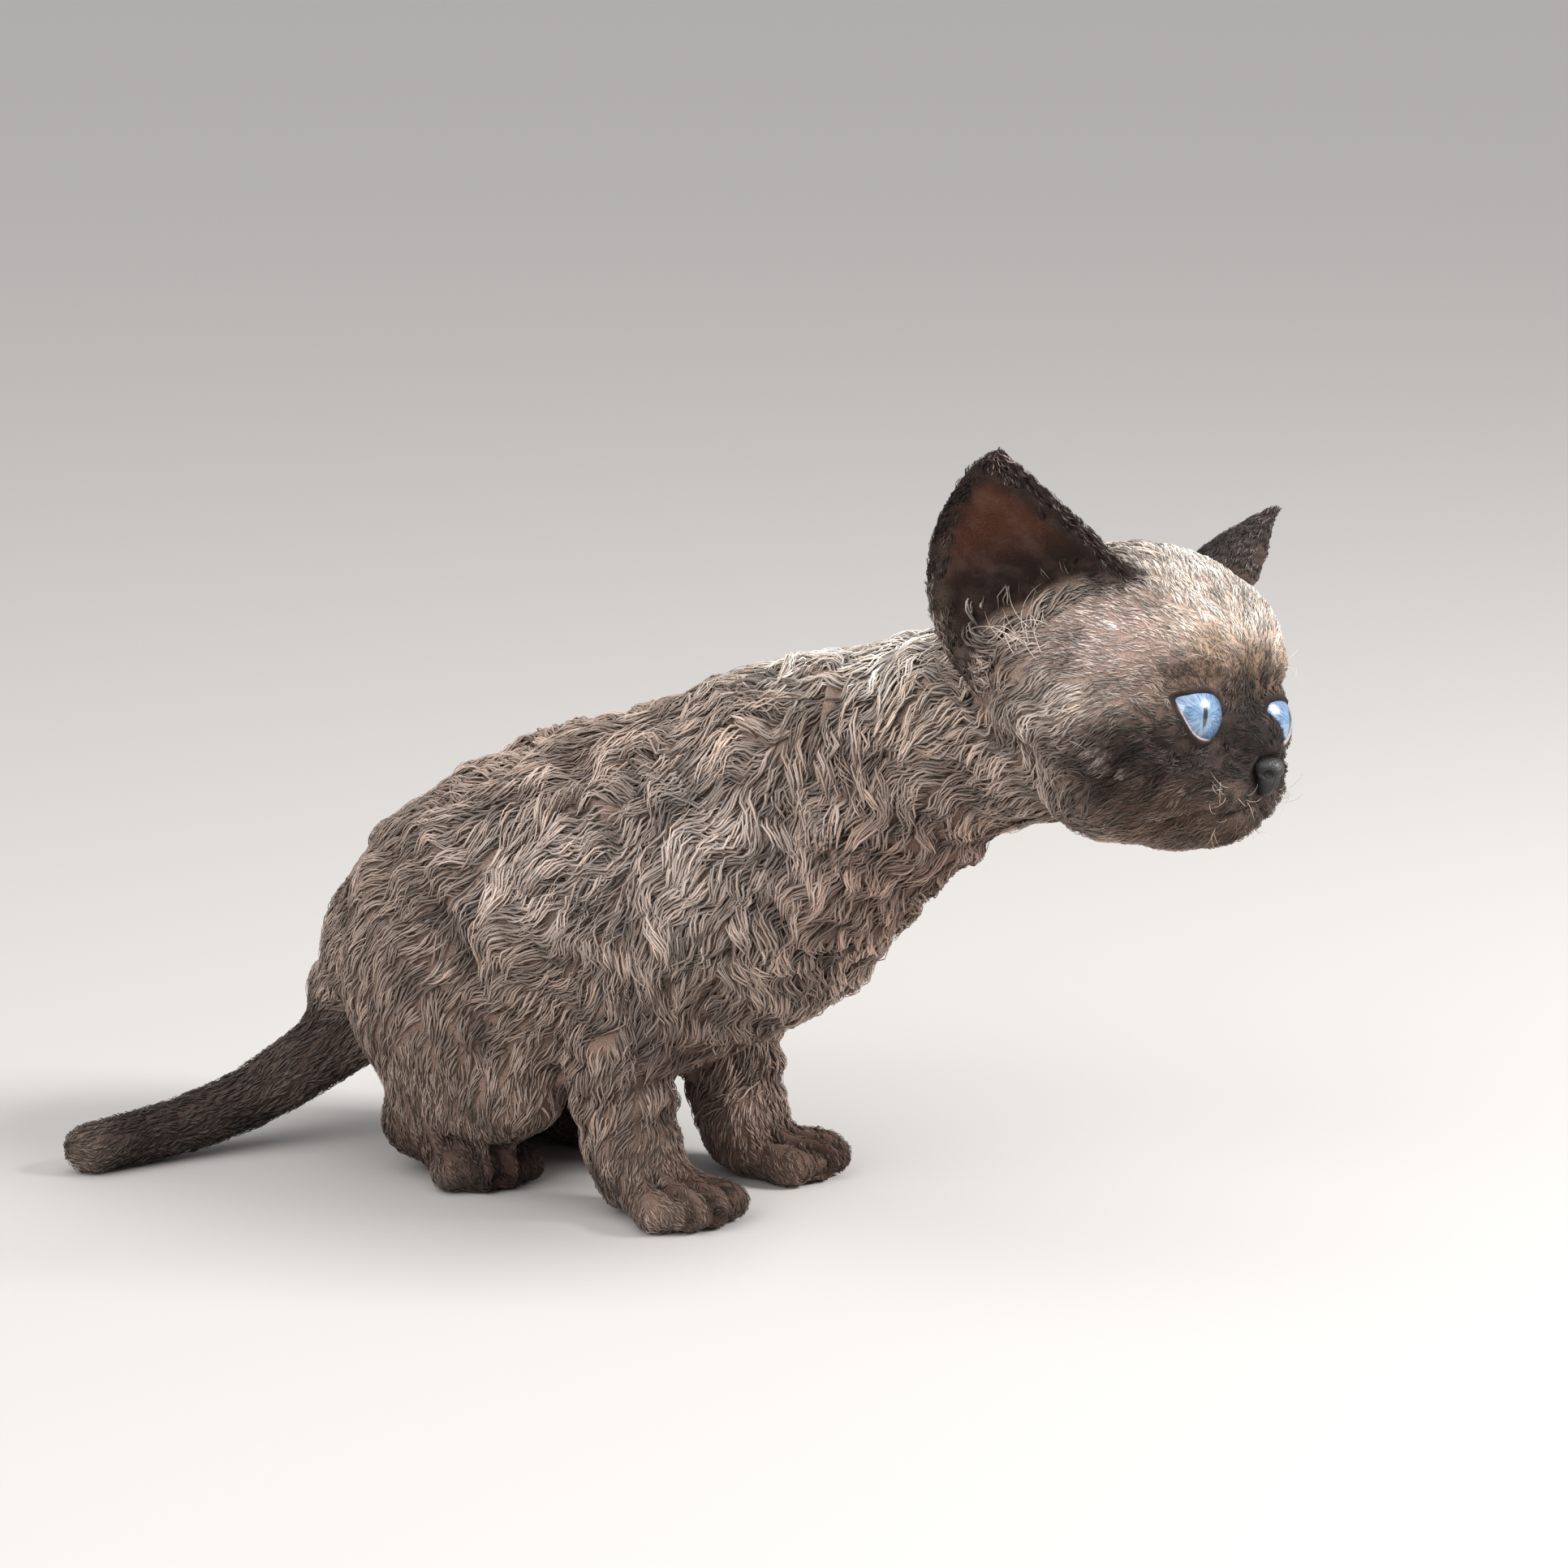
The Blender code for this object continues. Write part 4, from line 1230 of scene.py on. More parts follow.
MOUTH = (
    (15, 12, -20.2), (19, 11.5, -20.8), (24, 9.8, -21.6),
    (28.5, 7.2, -21.9), (32, 4, -21.6), (34.5, 0, -19.6),
)
# The last number of each row is the painted shade in the crease; less than none is a painted highlight on a
# ridge.
FOLDS = [Fold(Part.HEAD, *row) for row in (
    (MOUTH, 1.5, 0.75, 1),
    (((36.5, 0, -15), (35.5, 0, -17.5), (34.5, 0, -19.8)), 0.9, 0.6, 1),
    (((33, 7, -8), (29, 11, -12), (24, 13.5, -17)), 0.7, 1.6, 0.45),
    (((26, 14, -9.5), (20, 18, -14), (16, 19.5, -21)), 0.8, 1.3, 0.5),
    (((19, 19, -6.5), (13, 21.5, -11), (9, 22, -19)), 0.8, 1.3, 0.5),
    (((11, 22.5, -4), (5, 24, -10), (3, 23, -18)), 0.7, 1.3, 0.4),
    (((3.6, 24, -6), (9.2, 23, -7.4)), -0.7, 0.8, -0.8),
    (((6.2, 24, -9), (12, 23, -10.4)), -0.7, 0.8, -0.8),
    (((8.6, 24, -12.2), (14.2, 22, -13.6)), -0.7, 0.8, -0.8),
    (((26, 16, -7), (22, 18, -9)), -0.4, 0.8, -0.35),
    (((20, 16.5, -24), (26, 12, -24.5)), -0.4, 0.9, -0.3),
    (((31, 3.5, 6), (30, 4, 14)), 0.4, 1.6, 0.3),
    (((27, 13, 8), (24, 17, 10)), 0.4, 1.5, 0.3),
)] + [Fold(Part.BODY, *row) for row in (
    (((-52, 34, 62), (-46, 35, 45), (-38, 34, 30)), 0.9, 2.2, 0.45),
    (((-66, 36, 58), (-58, 37, 40), (-50, 36, 26)), 0.8, 2.0, 0.4),
    (((-36, 33, 66), (-31, 33, 50), (-29, 31, 34)), 0.9, 2.2, 0.4),
    (((22, 27, 96), (26, 26, 80), (22, 24, 64)), 1.0, 2.6, 0.45),
    (((48, 21, 108), (46, 22, 94), (52, 16, 80)), 1.0, 2.4, 0.5),
    (((6, 29, 100), (-6, 32, 84), (-10, 32, 64)), 0.9, 2.4, 0.35),
)]


@dataclass(frozen=True)
class Paw:
    """Where a paw stands, which gives the gaps between its toes.

    Attributes:
        at: its middle on the floor, from the body's own middle.
        heading: where it points, in degrees from straight ahead.
        scale: its size for a forepaw's.
        toe: how far the outer gaps are from the middle one.
        spread: how much further apart they are at the toes' tips.
        depth, width: of each gap.
    """

    at: tuple[float, float]
    heading: float
    scale: float
    toe: float = 6.1
    spread: float = 1.12
    depth: float = 2.4
    width: float = 1.35

    def gaps(self) -> list[Array]:
        """Sets out the three gaps between the toes.

        Returns:
            Their paths, from the top of the foot to the floor.
        """
        turn = math.radians(self.heading)
        paths = []
        for aside in (-self.toe, 0, self.toe):
            tip = aside * self.spread if aside else 0
            bend, front = (15, 17) if aside else (17, 19.5)
            path = [(4, aside, 11.5), (10, aside, 11), (bend, tip, 8.5), (front, tip, 4.5), (front, tip, 0.5)]
            spots = np.array(path) * self.scale
            ahead = spots[:, 0] * math.cos(turn) - spots[:, 1] * math.sin(turn) + self.at[0]
            beside = spots[:, 0] * math.sin(turn) + spots[:, 1] * math.cos(turn) + self.at[1]
            paths.append(KITTEN.from_body(np.stack([ahead, beside, spots[:, 2]], 1)))
        return paths


PAWS = [
    Paw((-6.5, 18.5), 10, 1), Paw((-5, -23.5), -24, 1), Paw((-56, 20), 20, 0.95), Paw((-57.5, -19), -32, 0.95)
]


class Folds:
    """Every crease of the skin, and the ripples down the forelegs.

    Attributes:
        ripple_step: from one ripple to the next.
        ripple_height: how high they stand.
        ripple_shade: how dark the painted shade between them is.
    """

    ripple_step: float = 7.5
    ripple_height: float = 0.6
    ripple_shade: float = 0.45

    def __init__(self, folds: Sequence[Fold], paws: Sequence[Paw]) -> None:
        """Sets out the creases on both sides and the gaps between the toes.

        Args:
            folds: the creases and ridges.
            paws: the four paws.
        """
        self.rows: list[tuple[Array, float, float, float]] = []
        for fold in folds:
            for side in sides(any(place[1] for place in fold.path)):
                path = mirrored(fold.path, side)
                path = KITTEN.from_head(path) if fold.part is Part.HEAD else KITTEN.from_body(path)
                self.rows.append((path, fold.depth, fold.width, fold.dark))
        for paw in paws:
            # The gaps between the toes get the fullest painted shade.
            self.rows += [(path, paw.depth, paw.width, 1) for path in paw.gaps()]

    def settle(self, skin: Array) -> None:
        """Lays every path on the skin.

        Args:
            skin: the skin's points.
        """
        settled = []
        for path, depth, width, dark in self.rows:
            stops = np.arange(0, len(path) - 0.9, 0.5)
            low = np.minimum(stops.astype(int), len(path) - 2)
            part = (stops - low)[:, None]
            fine = blend(path[low], path[low + 1], part)
            near = skin[((skin > fine.min(axis=0) - 6) & (skin < fine.max(axis=0) + 6)).all(axis=1)]
            closest = spans(fine[:, None] - near[None]).argmin(axis=1)
            settled.append((near[closest], depth, width, dark))
        self.rows = settled

    def at(self, places: Array) -> tuple[Array, Array]:
        """How deep and how dark the creases are.

        Args:
            places: where to look.

        Returns:
            A depth and a painted shade for each place, less than none where a ridge gets painted highlight.
        """
        height, ripple_painted_shade = self.ripples(places)
        depth, ridge, dark, pale = np.zeros((4, len(places)))
        # dark gathers the painted shade in the creases, and pale the painted highlight on the ridges.
        for path, deep, width, shade in self.rows:
            middle, reach = path.mean(axis=0), np.ptp(path, axis=0).max() + 4 * width
            near = np.nonzero(np.abs(places - middle).max(axis=1) < reach)[0]
            if len(near):
                share = np.exp(-((self.apart(places[near], path) / width) ** 2))
                depth[near] = np.maximum(depth[near], deep * share)
                ridge[near] = np.minimum(ridge[near], deep * share)
                dark[near] = np.maximum(dark[near], shade * share)
                pale[near] = np.minimum(pale[near], shade * share)
        return depth + ridge - height, np.maximum(dark, ripple_painted_shade) + pale

    @staticmethod
    def apart(places: Array, path: Array) -> Array:
        """How far places are from a path.

        Args:
            places: where to look.
            path: the ends of its straight stretches.

        Returns:
            A distance for each place.
        """
        best = np.full(len(places), np.inf)
        for start, end in zip(path, path[1:]):
            run = end - start
            share = np.clip((places - start) @ run / (run @ run + 1e-6), 0, 1)
            best = np.minimum(best, spans(places - start - share[:, None] * run))
        return best

    def ripples(self, places: Array) -> tuple[Array, Array]:
        """The short waves round the forelegs.

        Args:
            places: where to look.

        Returns:
            For each place how high they stand, and how dark the painted shade between them is.
        """
        spots = KITTEN.to_body(places)
        leg = ramp(spots[:, 0], -36, -30) * (1 - ramp(spots[:, 0], 2, 10)) * ramp(spots[:, 2], 13, 19)
        leg = leg * (1 - ramp(spots[:, 2], 46, 62)) * ramp(np.abs(spots[:, 1]), 6, 11)
        wobble = 1.2 * np.sin(spots[:, 1] / 3.1) + 1.4 * np.sin(spots[:, 0] / 4.3)
        wave = np.cos((spots[:, 2] + wobble) * math.tau / self.ripple_step)
        # The hollows between the ripples get painted shade.
        return self.ripple_height * leg * wave, self.ripple_shade * leg * (0.5 - 0.5 * wave) ** 2


@dataclass
class Eye:
    """One eye in its socket, with its lids.

    Attributes:
        side: 1 for the left and -1 for the right.
        middle: the left ball's middle in the head's frame.
        radius: the ball's radius.
        gaze_out, gaze_down: where it looks, in degrees.
        lids_out: how far the lids' opening is turned outwards, in degrees.
        outline: the opening's outline, to the outer corner and upwards, from that corner over the top.
        profile: across a lid from its edge: how far along the skin, and how high above the ball.
        tear_line: the stretch of the outline with a pale edge, in shares of its whole.
        cornea, bulge: radius of the clear front and how far it stands proud.
        clear: how far out from the ball no hair may hang in front of it.
    """

    side: int
    middle: Place = (18.3, 10.4, -1.3)
    radius: float = 7.5
    gaze_out: float = 18
    gaze_down: float = -1
    lids_out: float = 13
    outline: tuple[tuple[float, float], ...] = (
        (5.5, 2.7), (3.2, 3.8), (-0.6, 4.3), (-3.6, 3.7), (-4.9, 1.6),
        (-5.2, -1.6), (-4.2, -3.5), (-1.5, -4.3), (1.7, -3.5), (4.2, -0.7),
    )
    profile: tuple[tuple[float, float], ...] = (
        (-0.2, -0.5), (0, 0.0), (0.1, 0.25), (0.4, 0.5), (1.0, 0.65), (1.9, 0.6), (2.8, 0.3), (3.7, -0.6)
    )
    tear_line: tuple[float, float] = (0.66, 0.97)
    cornea: float = 6.0
    bulge: float = 0.45
    clear: float = 1.2

    def name(self) -> str:
        """The word for its side."""
        return "left" if self.side > 0 else "right"

    def at(self) -> Array:
        """The ball's middle in the model's frame."""
        return np.array(Vector(KITTEN.from_head(mirrored(self.middle, self.side))))

    def turned(self, out: float, down: float) -> Matrix:
        """A frame in the ball's middle.

        Args:
            out: how far its x axis is turned outwards, in degrees.
            down: how far it is turned downwards.

        Returns:
            The frame, in the model's.
        """
        turn = Matrix.Rotation(math.radians(out) * self.side, 4, "Z")
        tip = Matrix.Rotation(math.radians(down), 4, "Y")
        head = KITTEN.head_matrix().to_3x3().to_4x4()
        return Matrix.Translation(Vector(self.at())) @ head @ turn @ tip

    def edge(self, count: int) -> Array:
        """The outline of the lids' opening.

        Args:
            count: how many directions to give.

        Returns:
            Directions from the ball's middle, in the model's frame.
        """
        flat = np.array(self.outline)
        stops = np.arange(count) / count * len(flat)
        low = stops.astype(int)
        part = (stops - low)[:, None]
        before, start, end, after = (flat[(low + k) % len(flat)] for k in (-1, 0, 1, 2))
        bend = 2 * before - 5 * start + 4 * end - after
        path = (2 * start + (end - before) * part + bend * part**2
                + (3 * start - before - 3 * end + after) * part**3) / 2
        ahead = np.sqrt(self.radius**2 - (path**2).sum(axis=1))
        spots = np.stack([ahead, path[:, 0] * self.side, path[:, 1]], axis=1)
        return unit(spots) @ np.array(self.turned(self.lids_out, 0))[:3, :3].T

    def beyond(self, places: Array) -> Array:
        """How far outside the lids' edge places lie, seen from the ball's middle.

        Args:
            places: where to look.

        Returns:
            A distance along the ball for each place, less than none inside the edge and 99 far off.
        """
        edge = self.edge(90)
        axis = unit(edge.mean(axis=0))
        away = places - self.at()
        close = spans(away) < self.radius + 5
        away = unit(away)
        found = np.full(len(places), 99.0)
        near = close & (away @ axis > 0.1)
        along = away[near] @ edge.T
        apart = np.arccos(np.clip(along.max(axis=1), -1, 1)) * self.radius
        side = unit(np.cross(axis, (0, 0, 1)))
        top = np.cross(side, axis)
        around = np.arctan2(edge @ top, edge @ side)
        angle = np.arctan2(away[near] @ top, away[near] @ side)
        reach = np.interp(angle, around, np.arccos(edge @ axis), period=math.tau)
        found[near] = np.where(np.arccos(np.clip(away[near] @ axis, -1, 1)) < reach, -apart, apart)
        return found

    def covers(self, places: Array) -> Array:
        """Whether each place lies in front of the ball between the lids."""
        near = spans(places - self.at()) < self.radius + self.clear
        return near & (self.beyond(places) < 0.15)

    def lid_band(self) -> tuple[Array, Array, Array]:
        """Both lids as one band round the opening.

        Returns:
            Its points, its triangles, and for each point how bare and how pale it is.
        """
        count = 96
        edge = self.edge(count)
        axis = unit(edge.mean(axis=0))
        outwards = flat_on(edge - axis, edge)
        rows = []
        for along, high in self.profile:
            turn = along / self.radius
            way = edge * math.cos(turn) + outwards * math.sin(turn)
            rows.append(self.at() + unit(way) * (self.radius + high))
        points = np.vstack(rows)
        k = np.arange(count)
        n = (k + 1) % count
        faces = []
        for low in range(0, (len(rows) - 1) * count, count):
            high = low + count
            faces += [np.stack([low + k, low + n, high + n], 1), np.stack([low + k, high + n, high + k], 1)]
        faces = np.vstack(faces)
        a, b, c = points[faces[count * 6]]
        if np.cross(b - a, c - a) @ (a - self.at()) < 0:
            faces = faces[:, ::-1]
        along = np.repeat([row[0] for row in self.profile], count)
        bare = 1 - ramp(along, 0.7, 2.2)
        start, end = self.tear_line
        place = np.tile(k / count, len(rows))
        pale = ramp(place, start, start + 0.08) * (1 - ramp(place, end - 0.06, end))
        return points, faces, np.stack([bare, pale * (1 - ramp(along, 0.08, 0.42))], axis=1)

    def ball(self) -> Piece:
        """Makes the ball, with its clear front standing proud.

        Returns:
            The ball, in the frame of its gaze.
        """
        rings, count = 64, 96
        angles = np.linspace(0, math.pi, rings + 1)[1:-1]
        round_it = np.linspace(0, math.tau, count, endpoint=False)
        off = self.radius * np.sin(angles)
        inner = np.clip(off / self.cornea, 0, 1)
        proud = np.where(angles < math.pi / 2, self.bulge * (1 - inner**2) ** 1.5, 0)
        ahead = self.radius * np.cos(angles) + proud
        beside, above = np.outer(off, np.cos(round_it)), np.outer(off, np.sin(round_it))
        points = np.stack([np.repeat(ahead, count), beside.ravel(), above.ravel()], axis=1)
        ends = np.array([[self.radius + self.bulge, 0, 0], [-self.radius, 0, 0]])
        made = Meshes.make(f"eyeball_{self.name()}", np.vstack([points, ends]), Tubes.skin(rings - 1, count))
        matrix = self.turned(self.gaze_out, self.gaze_down)
        made.matrix_world = Matrix.Translation(matrix.translation * MM) @ matrix.to_3x3().to_4x4()
        made.data.materials.append(IrisFinish().material())
        return made

    def build(self) -> Piece:
        """Makes the ball, hangs it on the root and hides the solids' eye.

        Returns:
            The ball.
        """
        ball = self.ball()
        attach(ball, "root")
        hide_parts(f"eye_{self.name()}")
        return ball


class Tubes:
    """Closed tubes along paths."""

    @staticmethod
    def skin(rings: int, corners: int) -> Array:
        """The triangles between rings of points, closed at two end points that follow them.

        Args:
            rings: how many rings there are.
            corners: how many points each has.

        Returns:
            Three point numbers for each triangle.
        """
        low = np.arange(rings - 1)[:, None] * corners
        high = low + corners
        k = np.arange(corners)
        n = (k + 1) % corners
        end, last = rings * corners, (rings - 1) * corners
        return np.concatenate([
            np.stack([low + k, low + n, high + n], axis=2).reshape(-1, 3),
            np.stack([low + k, high + n, high + k], axis=2).reshape(-1, 3),
            np.stack([np.full(corners, end), n, k], axis=1),
            np.stack([np.full(corners, end + 1), last + k, last + n], axis=1),
        ])

    @staticmethod
    def rings(path: Array, thick: Array, corners: int) -> Array:
        """The rings' points of one tube.

        Args:
            path: its middle line.
            thick: its radius at each point of the line.
            corners: how many points a ring has.

        Returns:
            The points, ring after ring.
        """
        ahead = unit(np.gradient(path, axis=0))
        side = unit(np.cross(ahead, (0.31, 0.22, 0.92)))
        across = np.cross(ahead, side)
        angle = np.linspace(0, math.tau, corners, endpoint=False)
        reach = side[:, None] * np.cos(angle)[:, None] + across[:, None] * np.sin(angle)[:, None]
        return (path[:, None] + reach * np.asarray(thick)[:, None, None]).reshape(-1, 3)


@dataclass
class Skin:
    """One skin over the whole kitten, evened, and drawn in to make room for its coat.

    Attributes:
        voxel: how fine the joined flesh is.
        grow: how far each solid grows so that they meet.
        triangles: about how many it has.
        body_rounds, face_rounds: how often the trunk and the face are evened.
        body_sink, face_sink, leg_sink, paw_sink, ear_sink: how far it lies inside the solids.
        wave_height: how high the coat's waves are raised in it.
        rim, tear: colours of the lids' bare rims and of their pale inner edges.
        between: how much the coat's colours are darkened on the skin, as painted shade between the hairs.
        head_edge, face_edge: how far from the head's middle the long coat and the body's depth begin.
        piece: the skin itself.
    """

    voxel: float = 0.72
    grow: float = 0.22
    triangles: int = 185000
    body_rounds: int = 70
    face_rounds: int = 4
    body_sink: float = 1.9
    face_sink: float = 0.8
    leg_sink: float = 1.2
    paw_sink: float = 0.6
    ear_sink: float = 0.3
    wave_height: float = 0.8
    rim: Colour = paint(24, 17, 16)
    tear: Colour = paint(186, 168, 164)
    between: Colour = (0.64, 0.56, 0.52)
    head_edge: tuple[float, float] = (30, 40)
    face_edge: tuple[float, float] = (34, 44)
    piece: Piece = field(init=False)

    def build(
        self, ears: Ears, eyes: Sequence[Eye], markings: Markings, groom: Groom, waves: Waves, folds: Folds
    ) -> Surface:
        """Makes the skin, unwraps it and dresses it.

        Args:
            ears: the ears' frames.
            eyes: the two eyes.
            markings: the kitten's colours.
            groom: the lie of its coat.
            waves: the waves through its coat.
            folds: its creases.

        Returns:
            The skin as a surface to grow the coat on.
        """
        self.piece = self.joined()
        places = Meshes.points(self.piece)
        on_ear = ears.whole_share(places)
        body = self.body_share(places) * (1 - on_ear)
        Meshes.soften(self.piece, self.body_rounds, 0.5 * body)
        Meshes.soften(self.piece, self.face_rounds, 0.5 * (1 - 0.5 * on_ear))
        self.sink(body, on_ear)
        folds.settle(Meshes.points(self.piece))
        self.sculpt(groom, waves, folds, body)
        self.thin(body, on_ear)
        bare, pale = self.fit_lids(eyes)
        self.unwrap()
        # The coat's colours, darkened on the skin as painted shade between the hairs.
        colours = markings.at(Meshes.points(self.piece), Meshes.normals(self.piece)) * np.array(self.between)
        Meshes.colour(self.piece, blend(blend(colours, self.rim, bare), self.tear, pale))
        self.piece.data.materials.append(SkinFinish().material())
        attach(self.piece, "root")
        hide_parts(*[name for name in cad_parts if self.is_flesh(name)])
        return Surface(self.piece)

    @staticmethod
    def is_flesh(name: str) -> bool:
        """Whether a node of the solids is flesh, rather than an eye or the nose leather."""
        return not name.startswith(("eye", "nose"))

    def joined(self) -> Piece:
        """Joins the solids, grown until they meet, with the eyes to fill their sockets.

        Returns:
            One closed mesh of triangles.
        """
        points, triangles, count = [], [], 0
        for name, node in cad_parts.items():
            if not name.startswith("nose"):
                solid = Surface(node)
                points.append(solid.points + solid.normals * self.grow)
                triangles.append(solid.corners + count)
                count += len(solid.points)
        made = Meshes.make("skin", np.vstack(points), np.vstack(triangles))
        Meshes.remesh(made, self.voxel)
        made.modifiers.new("split", "TRIANGULATE")
        Meshes.apply(made)
        made.data.shade_smooth()
        return made

    def body_share(self, places: Array) -> Array:
        """How fully the long coat covers the kitten.

        Args:
            places: where to look.

        Returns:
            A share for each place: one on the trunk, none on the face, feet and tail.
        """
        spots = KITTEN.to_body(places)
        head = ramp(spans(spots - np.array(KITTEN.head_at)), *self.head_edge)
        fore = ramp(spots[:, 0], -38, -30)
        leg = fore * ramp(spots[:, 2], 34, 48) + (1 - fore) * ramp(spots[:, 2], 15, 27)
        tail = np.maximum(ramp(spots[:, 0], -99, -93), ramp(spots[:, 2], 34, 42))
        return head * leg * tail

    def sink(self, body: Array, on_ear: Array) -> None:
        """Draws the skin in by the coat's depth.

        Args:
            body: how fully the long coat covers each point.
            on_ear: how much each point belongs to an ear.
        """
        places = Meshes.points(self.piece)
        spots = KITTEN.to_body(places)
        face = 1 - ramp(spans(spots - np.array(KITTEN.head_at)), *self.face_edge)
        low = 1 - ramp(spots[:, 2], 8, 20)
        short = self.face_sink * face + (1 - face) * (self.paw_sink * low + self.leg_sink * (1 - low))
        depth = self.grow + body * self.body_sink + (1 - body) * short
        depth = depth * (1 - on_ear) + (self.grow + self.ear_sink) * on_ear
        moved = places - Meshes.normals(self.piece) * depth[:, None]
        Meshes.move(self.piece, moved)

    def sculpt(self, groom: Groom, waves: Waves, folds: Folds, body: Array) -> None:
        """Raises the coat's waves in the skin and presses its folds in.

        Args:
            groom: where the coat waves.
            waves: the waves.
            folds: the creases.
            body: how fully the long coat covers each point.
        """
        places = Meshes.points(self.piece)
        normals = Meshes.normals(self.piece)
        height = np.cos(waves.phase(places)) * groom.curl(places) * self.wave_height * (0.2 + 0.8 * body)
        depth, _ = folds.at(places)
        Meshes.move(self.piece, places + normals * (height + self.tousle(places) * body - depth)[:, None])

    @staticmethod
    def tousle(places: Array) -> Array:
        """The coat's uneven height over the trunk."""
        return uneven(places, 17, 5) * 0.6 + uneven(places, 30, 6) * 0.5

    def fit_lids(self, eyes: Sequence[Eye]) -> tuple[Array, Array]:
        """Joins the lids to the skin, which is drawn in behind them.

        Args:
            eyes: the two eyes.

        Returns:
            How bare and how pale each point of the skin is, as columns.
        """
        skin = Surface(self.piece)
        places = skin.points
        points, triangles, marks, count = [], [skin.corners], [np.zeros((len(places), 2))], len(places)
        for eye in eyes:
            away = places - eye.at()
            apart = spans(away)
            beyond = eye.beyond(places)
            under = beyond < 90
            outside = eye.radius + 0.2 + 0.5 * np.clip(beyond - 1.2, 0, 9)
            low = np.where(beyond < 0.6, eye.radius - 1.0, outside)
            facing = (skin.normals * unit(away)).sum(axis=1)
            pull = (ramp(facing, 0.05, 0.4) * under)[:, None]
            places += pull * unit(away) * (np.minimum(apart, low) - apart)[:, None]
            band, faces, share = eye.lid_band()
            points.append(band)
            triangles.append(faces + count)
            marks.append(share)
            count += len(band)
        old = self.piece
        self.piece = Meshes.make("skin_whole", np.vstack([places, *points]), np.vstack(triangles))
        bpy.data.objects.remove(old)
        self.piece.name = "skin"
        bare, pale = np.vstack(marks).T
        return bare[:, None], pale[:, None]

    def thin(self, body: Array, on_ear: Array) -> None:
        """Thins the body's even stretches and keeps the face, the ears and the feet fine.

        Args:
            body: how fully the long coat covers each point.
            on_ear: how much each point belongs to an ear.
        """
        group = self.piece.vertex_groups.new(name="even")
        share = np.round(np.clip(0.12 + 0.88 * body, 0, 1) * (1 - on_ear), 1)
        for value in np.unique(share):
            group.add(np.nonzero(share == value)[0].tolist(), float(value), "REPLACE")
        step = self.piece.modifiers.new("thin", "DECIMATE")
        step.ratio = self.triangles / len(self.piece.data.polygons)
        step.vertex_group = group.name
        step.use_collapse_triangulate = True
        Meshes.apply(self.piece)
        self.piece.vertex_groups.clear()

    def unwrap(self) -> None:
        """Lays the skin out flat on the map for baking."""
        self.piece.data.uv_layers.new(name=BAKE_MAP)
        bpy.context.view_layer.objects.active = self.piece
        self.piece.select_set(True)
        bpy.ops.object.mode_set(mode="EDIT")
        bpy.ops.mesh.select_all(action="SELECT")
        bpy.ops.uv.smart_project(angle_limit=math.radians(66), island_margin=0.002)
        bpy.ops.object.mode_set(mode="OBJECT")


class Zone(Enum):
    """Which part of the kitten a kind of hair grows on."""

    ALL = "all"
    HEAD = "head"
    LIMBS = "limbs"

    def share(self, places: Array, on_ear: Array) -> Array:
        """How much places belong to the zone.

        Args:
            places: where to look.
            on_ear: how much each place belongs to an ear.

        Returns:
            A share for each place.
        """
        middle = KITTEN.from_body(np.array(KITTEN.head_at))
        head = np.maximum(1 - ramp(spans(places - middle), 40, 48), on_ear)
        return {Zone.ALL: np.ones(len(places)), Zone.HEAD: head, Zone.LIMBS: 1 - head}[self]


@dataclass(frozen=True)
class Style:
    """One kind of hair in the coat.

    Attributes:
        name: the pieces' name.
        zone: where it grows.
        shortest, longest: which lengths of hair it makes.
        full: the length at which it stands off the skin by its whole loft.
        density: how many tufts to the square millimetre.
        lock_step: how far apart its locks stand.
        width: a tuft's width.
        hairs: how many hairs show across it.
        contrast: how much darker it is between them, as painted shade between the hairs.
        rings: how many rings of points a tuft has before its tip.
        pull: how far a lock's tufts close up at its tip.
        swing: how far the waves swing a lock sideways.
        loft: how far the tufts stand off the skin.
        seed: for its random draws.
    """

    name: str
    zone: Zone
    shortest: float
    longest: float
    full: float
    density: float
    lock_step: float
    width: float
    hairs: float
    contrast: float
    rings: int
    pull: float
    swing: float
    loft: float
    seed: int


LONG = Style(
    name="coat_curls", zone=Zone.ALL, shortest=5.2, longest=99, full=12, density=0.87, lock_step=3.6,
    width=0.6, hairs=14, contrast=0.38, rings=5, pull=0.6, swing=1.4, loft=2.1, seed=11,
)
FINE = Style(
    name="coat_face", zone=Zone.HEAD, shortest=0, longest=5.2, full=3.2, density=3.1, lock_step=2.1,
    width=0.25, hairs=3, contrast=0.3, rings=2, pull=0.4, swing=0.35, loft=0.7, seed=12,
)
SHORT = Style(
    name="coat_short", zone=Zone.LIMBS, shortest=0, longest=5.2, full=3.6, density=1.7, lock_step=2.2,
    width=0.36, hairs=5, contrast=0.4, rings=2, pull=0.4, swing=0.4, loft=0.7, seed=13,
)


@dataclass(frozen=True)
class Tones:
    """How far the brightness and the hue of the hair vary.

    Attributes:
        lock, tuft: from lock to lock and from tuft to tuft.
        wide, fine: in soft patches, each with how far, over what distance and a seed for its draws.
        under, layers: the brightness of the lowest layer, and what the top one adds to it, as painted shade
            on the lower tufts.
        hue: between warm and cold.
        crest: how much brighter the crests of the waves are painted, as painted highlight, and how much
            darker their troughs, as painted shade.
    """

    lock: float = 0.17
    tuft: float = 0.08
    wide: tuple[float, float, int] = (0.22, 15, 8)
    fine: tuple[float, float, int] = (0.17, 5, 9)
    under: float = 0.72
    layers: float = 0.34
    hue: float = 0.03
    crest: float = 1.1


